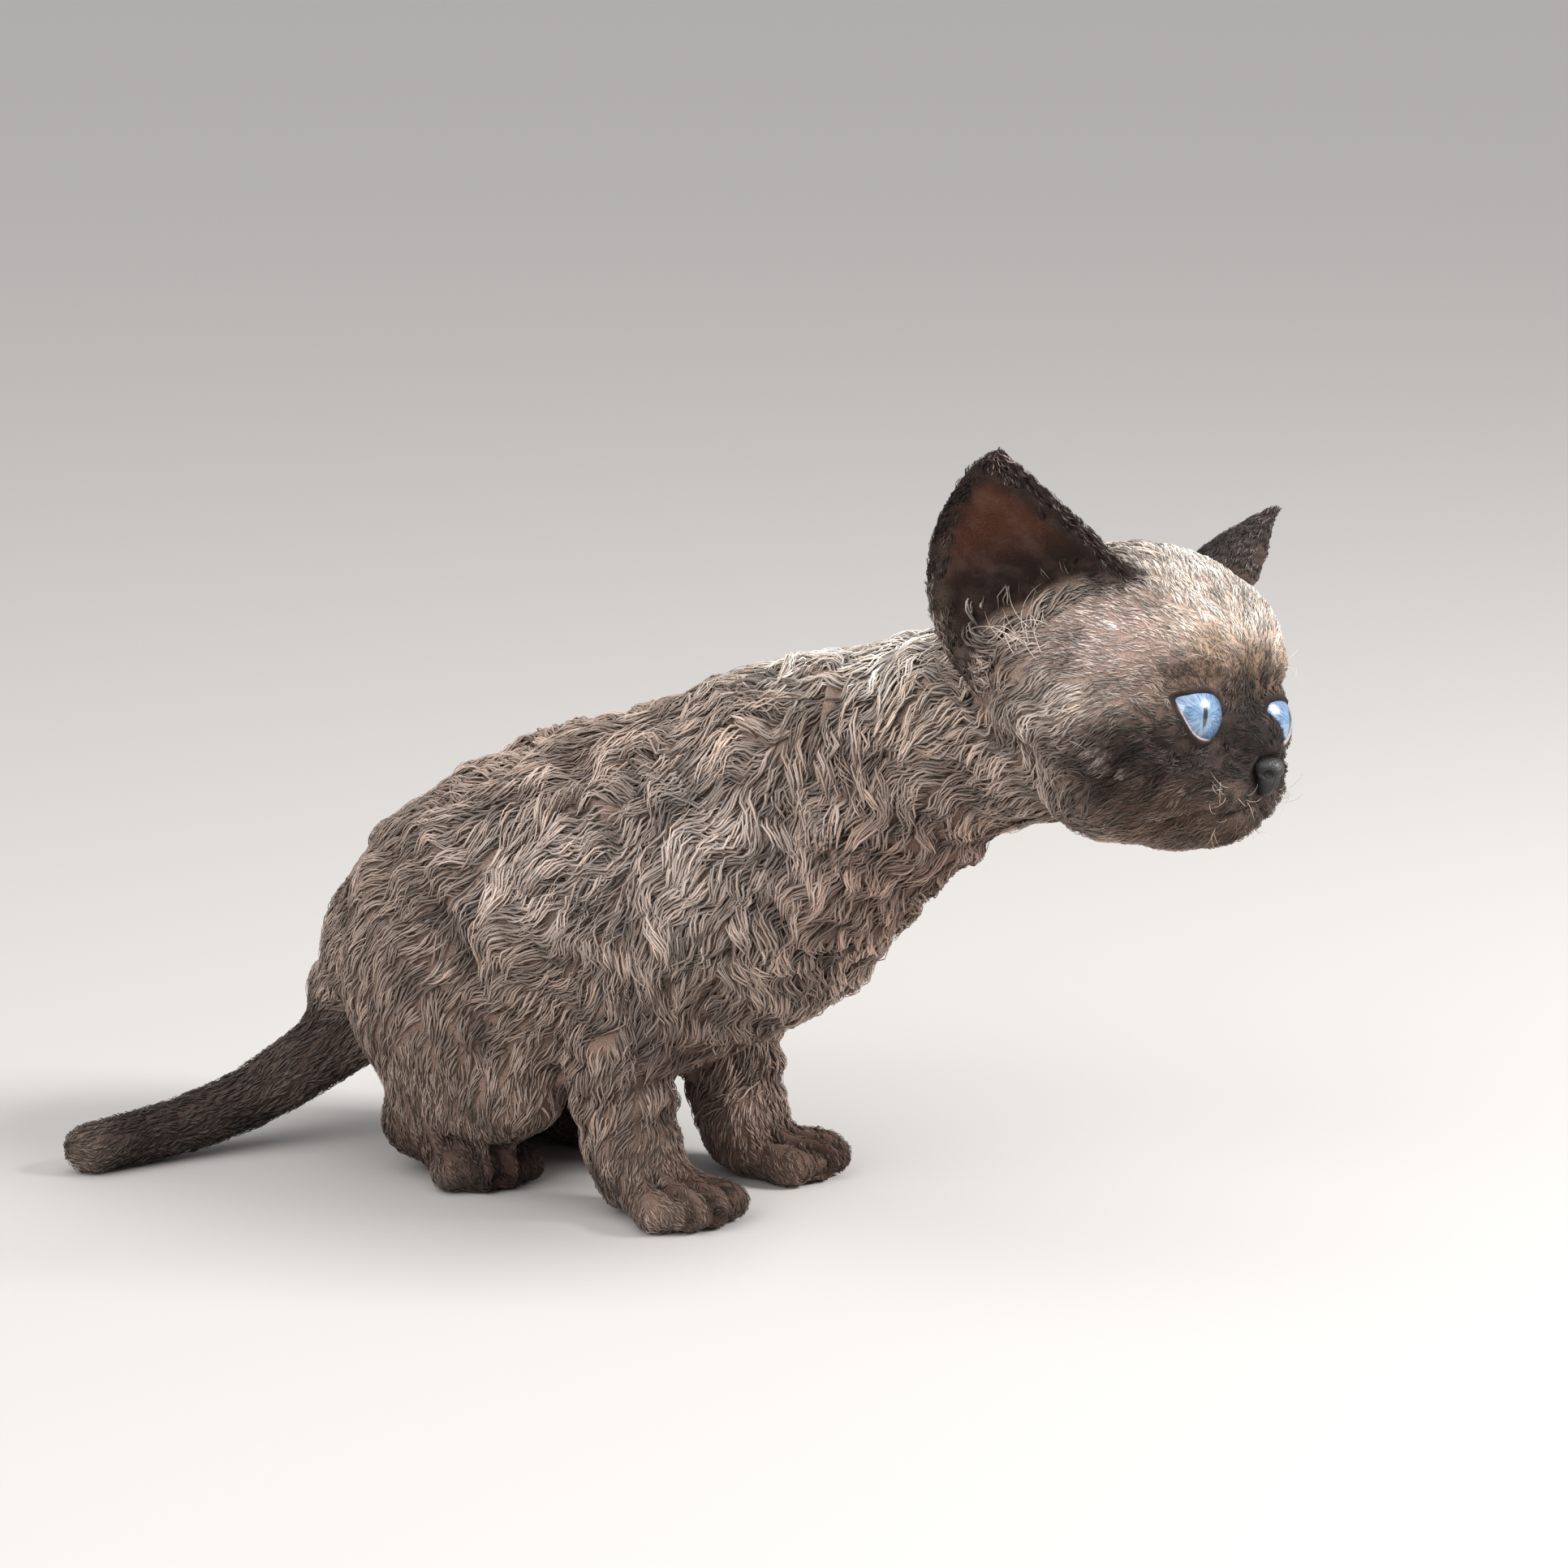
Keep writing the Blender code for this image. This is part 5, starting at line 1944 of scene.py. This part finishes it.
@dataclass
class Coat:
    """The kitten's hair: closed tufts gathered into locks that wave in step.

    Attributes:
        style: what kind of hair it is.
        skin: what it grows on.
        groom: how it lies.
        waves: how it waves.
        markings: its colours.
        ears: the ears' frames.
        eyes: the eyes to keep clear.
        nose: the bare leather to keep clear.
        on_ears: the hair's length on the ears.
        root: how deep a tuft's root is sunk in the skin.
        floor: how high over the floor the tufts stay.
        snout: from where forwards in the head the leather may be near.
        tones: how its colours vary.
    """

    style: Style
    skin: Surface
    groom: Groom
    waves: Waves
    markings: Markings
    ears: Ears
    eyes: Sequence[Eye]
    nose: Surface
    on_ears: float = 3.1
    root: float = 0.15
    floor: float = 0.25
    snout: float = 26
    tones: Tones = Tones()

    def build(self) -> list[Piece]:
        """Grows the hair.

        Returns:
            It in pieces of bearable size.
        """
        draw = np.random.default_rng(self.style.seed)
        roots = self.skin.scatter(self.style.density, self.share, draw)
        locks = self.locks(draw)
        points, frames, roots, extra = self.strands(roots, locks, draw)
        colours = self.colours(roots, extra, draw)
        return self.pieces(points, frames, colours, roots, extra["crest"], draw)

    def lengths(self, places: Array) -> Array:
        """The hair's length at each place, shorter on the ears."""
        return blend(self.groom.length(places), self.on_ears, self.ears.whole_share(places))

    def share(self, places: Array, normals: Array) -> Array:
        """How many of the tufts this style keeps.

        Args:
            places: where to look.
            normals: the skin's normals there.

        Returns:
            A share for each place.
        """
        length = self.lengths(places)
        style = self.style
        kept = np.ones(len(places))
        if style.shortest:
            kept = ramp(length, style.shortest - 0.8, style.shortest + 0.8)
        kept = kept * (1 - ramp(length, style.longest - 0.8, style.longest + 0.8))
        for side, share in self.ears.share(places).items():
            hollow = self.ears.inside(normals, side) * share
            near = np.maximum(self.ears.front(places, side), self.ears.back(places, side))
            kept = kept * (1 - hollow * np.clip(1.4 * (1 - near), 0, 1))
        kept = kept * style.zone.share(places, self.ears.whole_share(places))
        _, dark = self.markings.folds.at(places)
        kept = kept * (1 - ramp(dark, 0.45, 0.8))
        for eye in self.eyes:
            apart = spans(places - eye.at())
            inside = (apart < eye.radius + eye.clear) & (eye.beyond(places) < 0.45)
            kept = np.where((apart < eye.radius + 0.3) | inside, 0, kept)
        snout = KITTEN.to_head(places)[:, 0] > self.snout
        spared = np.ones(len(places))
        spared[snout] = ramp(self.nose.distance(places[snout]), 0.35, 0.6)
        return kept * spared * ramp(places[:, 2], 0.35, 0.8)

    def ways(self, places: Array, normals: Array) -> Array:
        """How the hair lies, which is up to the tip on an ear and outwards round an eye.

        Args:
            places: where to look.
            normals: the skin's normals there.

        Returns:
            The direction at each place.
        """
        ways = self.groom.way(places, normals)
        for side, share in self.ears.share(places).items():
            up = self.ears.place(self.ears.tip, side) - places
            up = flat_on(unit(up) + 0.15 * self.ears.opening(side), normals)
            ways = blend(ways, up, share[:, None])
        for eye in self.eyes:
            near = np.nonzero(spans(places - eye.at()) < eye.radius + 5)[0]
            if len(near):
                outwards, axis = places[near] - eye.at(), unit(eye.edge(24).mean(axis=0))
                outwards = flat_on(outwards - (outwards @ axis)[:, None] * axis, normals[near])
                ways[near] += 1.6 * outwards * (1 - ramp(eye.beyond(places[near]), 0.5, 5))[:, None]
        return flat_on(ways, normals)

    def locks(self, draw: Draw) -> dict[str, Array]:
        """The middles of the locks, each followed along the skin.

        Args:
            draw: the random numbers.

        Returns:
            For each lock its path, normals, directions, length and phase.
        """
        density = 1 / self.style.lock_step**2
        starts = self.skin.scatter(density, self.share, draw)
        lengths = self.lengths(starts.places) * draw.uniform(0.85, 1.1, len(starts.places))
        steps = self.style.rings
        places, normals, ways = [starts.places], [starts.normals], []
        twist = draw.normal(0, 0.15, len(lengths))[:, None]
        for _ in range(steps):
            way = self.ways(places[-1], normals[-1])
            way = turned(way, normals[-1], twist)
            ways.append(way)
            ahead = self.skin.nearest(places[-1] + way * (lengths / steps)[:, None])
            places.append(ahead.places)
            normals.append(ahead.normals)
        ways.append(self.ways(places[-1], normals[-1]))
        return {
            "places": np.stack(places, axis=1),
            "normals": np.stack(normals, axis=1),
            "ways": np.stack(ways, axis=1),
            "lengths": lengths,
            "phase": self.waves.phase(starts.places) + draw.normal(0, 0.55, len(lengths)),
            "curl": self.groom.curl(starts.places) * draw.uniform(0.5, 1.3, len(lengths)),
        }

    @staticmethod
    def closest(places: Array, among: Array) -> Array:
        """Which of some places is closest.

        Args:
            places: where to look from.
            among: the places to choose from.

        Returns:
            The chosen one's number for each place.
        """
        tree = KDTree(len(among))
        for number, place in enumerate(among.tolist()):
            tree.insert(place, number)
        tree.balance()
        return np.array([tree.find(place)[1] for place in places.tolist()])

    def strands(
        self, roots: Spots, locks: dict[str, Array], draw: Draw
    ) -> tuple[Array, Array, Spots, dict[str, Array]]:
        """The middle line of every tuft.

        Args:
            roots: where they grow.
            locks: the locks that they gather in.
            draw: the random numbers.

        Returns:
            The tufts' points, the normals at them, the roots that are kept, and what their shade depends on.
        """
        style = self.style
        lock = self.closest(roots.places, locks["places"][:, 0])
        along, normal = locks["ways"][lock, 0], locks["normals"][lock, 0]
        aside = np.cross(normal, along)
        off = roots.places - locks["places"][lock, 0]
        ahead, beside = (off * along).sum(axis=1), (off * aside).sum(axis=1)
        count = len(lock)
        reach = draw.uniform(0.72, 1.0, count)
        layer = draw.uniform(0.25, 1.0, count)
        wander = draw.normal(0, 0.25, (count, 2)) * (0.4 + style.width)
        length = locks["lengths"][lock]
        curl = locks["curl"][lock]
        phase = locks["phase"][lock] + draw.normal(0, 0.2, count)
        swing = style.swing * curl
        rows, lifts, crests = [], [], []
        for k in range(style.rings + 1):
            t = k / style.rings
            at = reach * k
            low = np.minimum(at.astype(int), style.rings - 1)
            part = (at - low)[:, None]
            place, way, up = (
                blend(locks[name][lock, low], locks[name][lock, low + 1], part)
                for name in ("places", "ways", "normals")
            )
            way, up = unit(way), unit(up)
            turn = phase + math.tau * t * reach * length / self.waves.step
            sway = swing * (np.sin(turn) - np.sin(phase) * (1 - t)) * ramp(np.array(t), 0, 0.35)
            close = 1 - style.pull * t
            spot = place + way * (ahead * (1 - 0.2 * t) + wander[:, 0] * t)[:, None]
            spot = spot + np.cross(up, way) * (beside * close + sway + wander[:, 1] * t)[:, None]
            rows.append(spot)
            crest = 0.35 * curl * np.cos(turn)
            crests.append(crest)
            lifts.append(style.loft * layer * (math.sin(math.pi * min(t * 0.8 + 0.06, 1)) ** 0.7 + crest * t))
        spots = np.stack(rows, axis=1)
        found = self.skin.nearest(spots[:, 1:])
        shape = (count, style.rings, 3)
        spots[:, 0] = roots.places
        spots[:, 1:] = found.places.reshape(shape)
        normals = np.concatenate([roots.normals[:, None], found.normals.reshape(shape)], axis=1)
        depth = np.clip(self.lengths(roots.places) / style.full, 0.35, 1.15)
        lift = np.stack(lifts, axis=1) * depth[:, None]
        lift[:, 0] = -self.root
        spots = spots + normals * lift[..., None]
        spots[..., 2] = np.maximum(spots[..., 2], self.floor)
        keep = ~np.any([eye.covers(spots[:, k]) for eye in self.eyes for k in range(style.rings + 1)], axis=0)
        extra = {"lock": lock[keep], "crest": np.stack(crests, axis=1)[keep], "layer": layer[keep]}
        return spots[keep], normals[keep], roots.keep(keep), extra

    def colours(self, roots: Spots, extra: dict[str, Array], draw: Draw) -> Array:
        """The colour of every tuft at its middle.

        Args:
            roots: where the tufts grow.
            extra: the lock and the layer of each.
            draw: the random numbers.

        Returns:
            A linear colour for each.
        """
        base = self.markings.at(roots.places, roots.normals)
        count, lock, tones = len(base), extra["lock"], self.tones
        tone = np.random.default_rng(self.style.seed + 1).normal(0, tones.lock, lock.max() + 1)[lock]
        tone = 1 + tone + draw.normal(0, tones.tuft, count)
        for most, step, seed in (tones.wide, tones.fine):
            tone = tone + most * uneven(roots.places, step, seed)
        # The lower tufts are darker: painted shade under the upper ones.
        tone = tone * (tones.under + tones.layers * extra["layer"])
        warm = draw.normal(0, tones.hue, (count, 1)) * np.array([[1, 0, -1]])
        for side, share in self.ears.share(roots.places).items():
            edge = share * self.ears.front(roots.places, side) * self.ears.inside(roots.normals, side)
            pale = (draw.random(count) < 0.3 * edge)[:, None]
            base = np.where(pale, Shade.EAR_PALE.value, base)
        return np.clip(base * np.clip(tone, 0.35, 1.6)[:, None] * (1 + warm), 0, 0.95)

    def pieces(
        self, points: Array, normals: Array, colours: Array, roots: Spots, crest: Array, draw: Draw
    ) -> list[Piece]:
        """The tufts as closed meshes.

        Args:
            points: their middle lines.
            normals: the skin's normals along them.
            colours: their colours.
            roots: where they grow.
            crest: how high in its wave each point of them is.
            draw: the random numbers.

        Returns:
            The pieces, each with its markings and its map for baking.
        """
        rings = self.style.rings
        along = unit(np.gradient(points, axis=1))
        aside = unit(np.cross(normals, along))
        out = np.cross(along, aside)
        t = np.linspace(0, 1, rings + 1)[:-1]
        width = self.style.width * (0.55 + 0.45 * np.sin(math.pi * np.clip(t + 0.18, 0, 1)))
        narrow = np.clip(self.lengths(roots.places) / self.style.full, 0.75, 1)
        width = width[None] * (draw.uniform(0.65, 1.25, len(points)) * narrow)[:, None]
        rows = [
            points[:, :-1] + (aside[:, :-1] * across + out[:, :-1] * up) * width[..., None]
            for across, up in ((-0.5, -0.08), (0.5, -0.08), (0, 0.24))
        ]
        body = np.stack(rows, axis=2).reshape(len(points), rings * 3, 3)
        whole = np.concatenate([body, points[:, -1:]], axis=1)
        # Painted shade at each tuft's root, lighter towards its tip, with painted highlight on the waves'
        # crests and painted shade in their troughs.
        shade = np.array([0.68, *np.linspace(0.88, 1.08, rings)])[None] * (1 + self.tones.crest * crest)
        painted_shading = np.concatenate([np.repeat(shade[:, :-1], 3, axis=1), shade[:, -1:]], axis=1)
        tones = np.clip(colours[:, None] * painted_shading[..., None], 0, 0.95)
        spot = self.skin.on_map(roots)
        across = np.array([*[(-0.5, 0.5, 0)[k % 3] for k in range(rings * 3)], 0])
        upward = np.array([*np.repeat(np.linspace(-0.5, 0.4, rings), 3), 0.5])
        patch = spot[:, None] + np.stack([across, upward], axis=1)[None] * BAKE_PATCH
        number = np.arange(len(points))[:, None] * 3.7
        strand = np.stack(np.broadcast_arrays(across, upward, number), axis=2)
        triangles = self.tuft_triangles(rings)
        most = MOST_TRIANGLES // len(triangles)
        order = np.argsort(roots.places[:, 0], kind="stable")
        made = []
        for start in range(0, len(order), most):
            chosen = order[start : start + most]
            faces = triangles[None] + (np.arange(len(chosen)) * (rings * 3 + 1))[:, None, None]
            name = f"{self.style.name}_{len(made) + 1}"
            piece = Meshes.make(name, whole[chosen].reshape(-1, 3), faces.reshape(-1, 3))
            Meshes.colour(piece, tones[chosen].reshape(-1, 3))
            Meshes.strand(piece, strand[chosen].reshape(-1, 3))
            Meshes.bake_map(piece, patch[chosen].reshape(-1, 2))
            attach(piece, "root")
            made.append(piece)
        return made

    @staticmethod
    def tuft_triangles(rings: int) -> Array:
        """The triangles of one closed tuft of three-cornered rings and a tip.

        Args:
            rings: how many rings it has.

        Returns:
            Three point numbers for each triangle.
        """
        faces = [(2, 1, 0)]
        for k in range(rings - 1):
            for a in range(3):
                b = (a + 1) % 3
                low, high = 3 * k, 3 * k + 3
                faces += [(low + a, low + b, high + b), (low + a, high + b, high + a)]
        last = 3 * (rings - 1)
        faces += [(last + a, last + (a + 1) % 3, last + 3) for a in range(3)]
        return np.array(faces)


@dataclass
class Nose:
    """The bare leather at the tip of the nose.

    Attributes:
        voxel: how fine it is.
        grow: how far it grows to close the gap round it.
        set_in: how far it is set back into the muzzle.
        nostril: how far each nostril is from the middle.
    """

    voxel: float = 0.22
    grow: float = 0.12
    set_in: float = 1.8
    nostril: float = 2.3

    def build(self) -> Piece:
        """Makes the leather from its solid, rounder and finer.

        Returns:
            The leather.
        """
        solid = Surface(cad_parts["nose_leather"])
        made = Meshes.make("nose_skin", solid.points + solid.normals * self.grow, solid.corners)
        Meshes.remesh(made, self.voxel)
        Meshes.apply(made)
        Meshes.soften(made, 5, np.full(len(made.data.vertices), 0.5))
        self.shape(made)
        made.data.shade_smooth()
        made.data.materials.append(NoseFinish().material())
        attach(made, "root")
        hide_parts("nose_leather")
        return made

    def shape(self, made: Piece) -> None:
        """Sets the leather into the muzzle, narrows it downwards and hollows its nostrils.

        Args:
            made: the leather.
        """
        spots = KITTEN.to_head(Meshes.points(made))
        low, high = spots[:, 2].min(), spots[:, 2].max()
        rise = (spots[:, 2] - low) / (high - low)
        spots[:, 1] *= 0.48 + 0.28 * rise
        spots[:, 0] -= self.set_in
        front, middle = spots[:, 0].max(), low + 0.52 * (high - low)
        for side in (1, -1):
            nostril = np.array([front - 1.6, self.nostril * side, middle])
            apart = spans((spots - nostril) / (1.6, 1.0, 0.8))
            hollow = np.exp(-(apart**2))
            spots[:, 0] -= 1.1 * hollow
            spots[:, 1] -= 0.5 * side * hollow
        groove = np.exp(-((spots[:, 1] / 0.45) ** 2)) * (1 - ramp(rise, 0.2, 0.7))
        spots[:, 0] -= 0.5 * groove
        Meshes.move(made, KITTEN.from_head(spots))


@dataclass(frozen=True)
class Hairs:
    """A group of single long hairs.

    Attributes:
        low, high: the corners of the box that they grow in, on the left side of the head.
        way: where they point.
        count: how many on each side.
        length: their length.
        thick: their radius at the root.
        bend: how far they curl.
        shade: their colour.
        seed: for their random draws.
    """

    low: Place
    high: Place
    way: Place
    count: int
    length: float
    thick: float
    bend: float
    shade: Colour
    seed: int


HAIRS = [
    Hairs((26, 8, -19), (32, 12, -13), (0.25, 0.9, -0.35), 8, 7.5, 0.045, 1.6, paint(196, 180, 168), 1),
    Hairs((24, 6, -28), (30, 8, -23), (0.2, 0.4, -0.9), 5, 5, 0.045, 1.2, paint(206, 186, 170), 2),
    Hairs((25, 11, 7), (28, 13, 10), (0.5, 0.3, 0.8), 6, 8, 0.05, 1.3, paint(220, 200, 176), 3),
    Hairs((33, 3, -20), (35, 7, -14), (0.9, 0.35, -0.3), 4, 5, 0.045, 1.4, paint(214, 200, 188), 4),
]


@dataclass
class Feelers:
    """Whiskers, brow and chin hairs, and the long white hairs in each ear's opening.

    Attributes:
        skin: what they grow on.
        ears: the ears' frames.
        points_each: how many points a hair's path has.
        corners: how many points go round it.
        each_ear: how many hairs an ear has.
        ear_seed: for their random draws.
    """

    skin: Surface
    ears: Ears
    points_each: int = 11
    corners: int = 5
    each_ear: int = 30
    ear_seed: int = 21

    def build(self) -> list[Piece]:
        """Makes every group as one piece.

        Returns:
            The pieces.
        """
        made = []
        for number, hairs in enumerate(HAIRS):
            paths, thick = [], []
            draw = np.random.default_rng(hairs.seed)
            for side in (1, -1):
                for _ in range(hairs.count):
                    spot = draw.uniform(hairs.low, hairs.high) * (1, side, 1)
                    way = unit(np.array(hairs.way) * (1, side, 1) + draw.normal(0, 0.25, 3))
                    root = self.skin.nearest(KITTEN.from_head(spot)[None])
                    aim = KITTEN.ways_from_head(way)
                    length = hairs.length * draw.uniform(0.6, 1.15)
                    paths.append(self.curled(root, aim, length, hairs.bend * draw.uniform(0.5, 1.3), draw))
                    thick.append(hairs.thick)
            made.append(self.piece(f"feelers_{number + 1}", paths, thick, hairs.shade))
        made.append(self.ear_hairs())
        return made

    def curled(self, root: Spots, aim: Array, length: float, bend: float, draw: Draw) -> Array:
        """A hair's path, bending evenly and a little twisted.

        Args:
            root: where it grows.
            aim: where it points.
            length: its length.
            bend: how far it curls.
            draw: the random numbers.

        Returns:
            The points along it.
        """
        normal = root.normals[0]
        way = unit(aim + 0.35 * normal)
        axis = unit(np.cross(way, draw.normal(size=3)))
        path = [root.places[0] - normal * 0.4]
        step = length / (self.points_each - 1)
        turn = bend * 2.2 / (self.points_each - 1)
        for _ in range(self.points_each - 1):
            path.append(path[-1] + way * step)
            way = unit(way * math.cos(turn) + np.cross(axis, way) * math.sin(turn))
            axis = unit(axis + way * 0.06)
        return np.array(path)

    def piece(self, name: str, paths: list[Array], thick: list[float], shade: Colour) -> Piece:
        """Makes hairs as one piece.

        Args:
            name: the piece's name.
            paths: the points along each hair.
            thick: each hair's radius at its root.
            shade: their colour.

        Returns:
            The piece.
        """
        points, faces = [], []
        size = self.points_each * self.corners + 2
        for number, (path, width) in enumerate(zip(paths, thick)):
            taper = width * (1 - 0.85 * np.linspace(0, 1, self.points_each) ** 1.5)
            points += [Tubes.rings(path, taper, self.corners), path[:1], path[-1:]]
            faces.append(Tubes.skin(self.points_each, self.corners) + number * size)
        made = Meshes.make(name, np.vstack(points), np.vstack(faces))
        Meshes.colour(made, np.tile(shade, (size * len(paths), 1)))
        spots = self.skin.nearest(np.vstack([path[:1] for path in paths]))
        places = np.repeat(self.skin.on_map(spots), size, axis=0)
        point = np.arange(len(places)) % size
        across, upward = point % self.corners / self.corners, point // self.corners / self.points_each
        Meshes.bake_map(made, places + (np.stack([across, upward], axis=1) - 0.5) * BAKE_PATCH)
        made.data.materials.append(CoatFinish(name, roughness=0.45).material())
        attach(made, "root")
        return made

    def ear_hairs(self) -> Piece:
        """Makes the long white hairs that curve up over each ear's lower opening.

        Returns:
            The piece.
        """
        paths, thick = [], []
        draw = np.random.default_rng(self.ear_seed)
        for side in (1, -1):
            for _ in range(self.each_ear):
                spot = draw.uniform((-13, 26.5, 7), (-3, 29.5, 17))
                root = self.skin.nearest(self.ears.place(tuple(spot), side)[None])
                aim = self.ears.way(self.ears.root, (-20, 22 + draw.uniform(-3, 3), 32), side)
                aim = unit(aim + draw.normal(0, 0.3, 3))
                paths.append(self.curled(root, aim, draw.uniform(6, 12), draw.uniform(0.4, 1.2), draw))
                thick.append(0.08)
        return self.piece("ear_hairs", paths, thick, paint(226, 214, 202))


@dataclass
class Studio:
    """A plain pale floor, soft light and the camera where the photo was taken from.

    Attributes:
        azimuth, elevation: where the camera stands round the kitten, in degrees.
        distance: how far it is from its target, in metres.
        target: what it looks at.
        lens: its focal length in millimetres.
        sensor: its sensor's width in millimetres.
        floor_radius: the floor's radius, in metres.
    """

    azimuth: float = 32
    elevation: float = 11
    distance: float = 1.2
    target: Place = (10.0576, 5.7, 88.5164)
    lens: float = 36 * 7200 / 1932
    sensor: float = 36
    floor_radius: float = 6

    def build(self) -> None:
        """Makes the floor, the lights and the camera."""
        self.floor()
        self.world()
        self.light("window", (0.95, 0.3, 0.78), 0.42, 0.28, 24, (1, 0.985, 0.97))
        self.light("fill", (-0.1, -1.25, 0.75), 1.2, 0.9, 15, (1, 0.98, 0.97))
        self.sun()
        self.camera()
        bpy.context.scene.view_settings.view_transform = "Standard"

    def floor(self) -> None:
        """A wide pale disc under the kitten."""
        count = 96
        angle = np.linspace(0, math.tau, count, endpoint=False)
        rim = np.stack([np.cos(angle), np.sin(angle), np.zeros(count)], axis=1) * self.floor_radius / MM
        points = np.vstack([rim, [[0, 0, 0]]])
        k = np.arange(count)
        made = Meshes.make("floor", points, np.stack([k, (k + 1) % count, np.full(count, count)], axis=1))
        made.data.materials.append(FloorFinish().material())

    @staticmethod
    def stand(name: str, data: Any, place: Vector, aim: Vector) -> Piece:
        """Stands a light or the camera in the scene.

        Args:
            name: its name.
            data: the light or the lens.
            place: where it stands, in metres.
            aim: the direction that it faces.

        Returns:
            The object.
        """
        made = bpy.data.objects.new(name, data)
        made.location = place
        made.rotation_euler = aim.to_track_quat("-Z", "Y").to_euler()
        bpy.context.scene.collection.objects.link(made)
        return made

    def world(self) -> None:
        """Pale light from all round."""
        world = bpy.data.worlds.new("studio")
        world.use_nodes = True
        sky = world.node_tree.nodes["Background"]
        sky.inputs["Color"].default_value = (0.92, 0.92, 0.93, 1)
        sky.inputs["Strength"].default_value = 0.45
        bpy.context.scene.world = world

    def light(self, name: str, place: Place, wide: float, high: float, power: float, colour: Colour) -> None:
        """Adds a soft rectangular light that faces the kitten.

        Args:
            name: its name.
            place: where it stands, in metres.
            wide, high: its size in metres.
            power: in watts.
            colour: its colour.
        """
        lamp = bpy.data.lights.new(name, "AREA")
        lamp.shape = "RECTANGLE"
        lamp.size, lamp.size_y = wide, high
        lamp.energy = power
        lamp.color = colour
        self.stand(name, lamp, Vector(place), Vector(self.target) * MM - Vector(place))

    def sun(self) -> None:
        """Even light from above, so soft that it leaves no hard shadow."""
        lamp = bpy.data.lights.new("sky", "SUN")
        lamp.energy = 1.6
        lamp.angle = math.radians(70)
        made = bpy.data.objects.new("sky", lamp)
        made.rotation_euler = (math.radians(14), math.radians(6), 0)
        bpy.context.scene.collection.objects.link(made)

    def camera(self) -> None:
        """The camera at the photo's angle and framing."""
        lens = bpy.data.cameras.new("camera")
        lens.lens = self.lens
        lens.sensor_width = self.sensor
        lens.clip_start = 0.05
        turn, tip = math.radians(self.azimuth), math.radians(self.elevation)
        back = Vector((math.sin(turn) * math.cos(tip), -math.cos(turn) * math.cos(tip), math.sin(tip)))
        place = Vector(self.target) * MM + back * self.distance
        bpy.context.scene.camera = self.stand("camera", lens, place, -back)


def dress_coat(style: Style, pieces: Sequence[Piece]) -> None:
    """Gives the coat's pieces their finish.

    Args:
        style: what kind of hair they are.
        pieces: the pieces.
    """
    finish = CoatFinish(style.name, style.hairs, style.contrast).material()
    for piece in pieces:
        piece.data.materials.append(finish)


def main() -> None:
    """Builds the kitten's skin, features and coat, and the studio round them."""
    logging.basicConfig(level=logging.INFO, format="%(relativeCreated)7d %(message)s")
    ears = Ears()
    eyes = [Eye(1), Eye(-1)]
    groom = Groom([*BODY_COMBS, *HEAD_COMBS], TAIL_PATH)
    waves = Waves()
    folds = Folds(FOLDS, PAWS)
    markings = Markings(PATCHES, ears, folds)
    for eye in eyes:
        log.info("eye: %s", eye.build().name)
    nose = Nose().build()
    log.info("nose leather")
    skin = Skin()
    surface = skin.build(ears, eyes, markings, groom, waves, folds)
    log.info("skin: %d triangles", len(surface.corners))
    for style in (LONG, FINE, SHORT):
        pieces = Coat(style, surface, groom, waves, markings, ears, eyes, Surface(nose)).build()
        dress_coat(style, pieces)
        count = sum(len(piece.data.polygons) for piece in pieces)
        log.info("%s: %d pieces, %d triangles", style.name, len(pieces), count)
    log.info("feelers: %d pieces", len(Feelers(surface, ears).build()))
    Studio().build()
    log.info("studio")


if __name__ == "__main__":
    main()
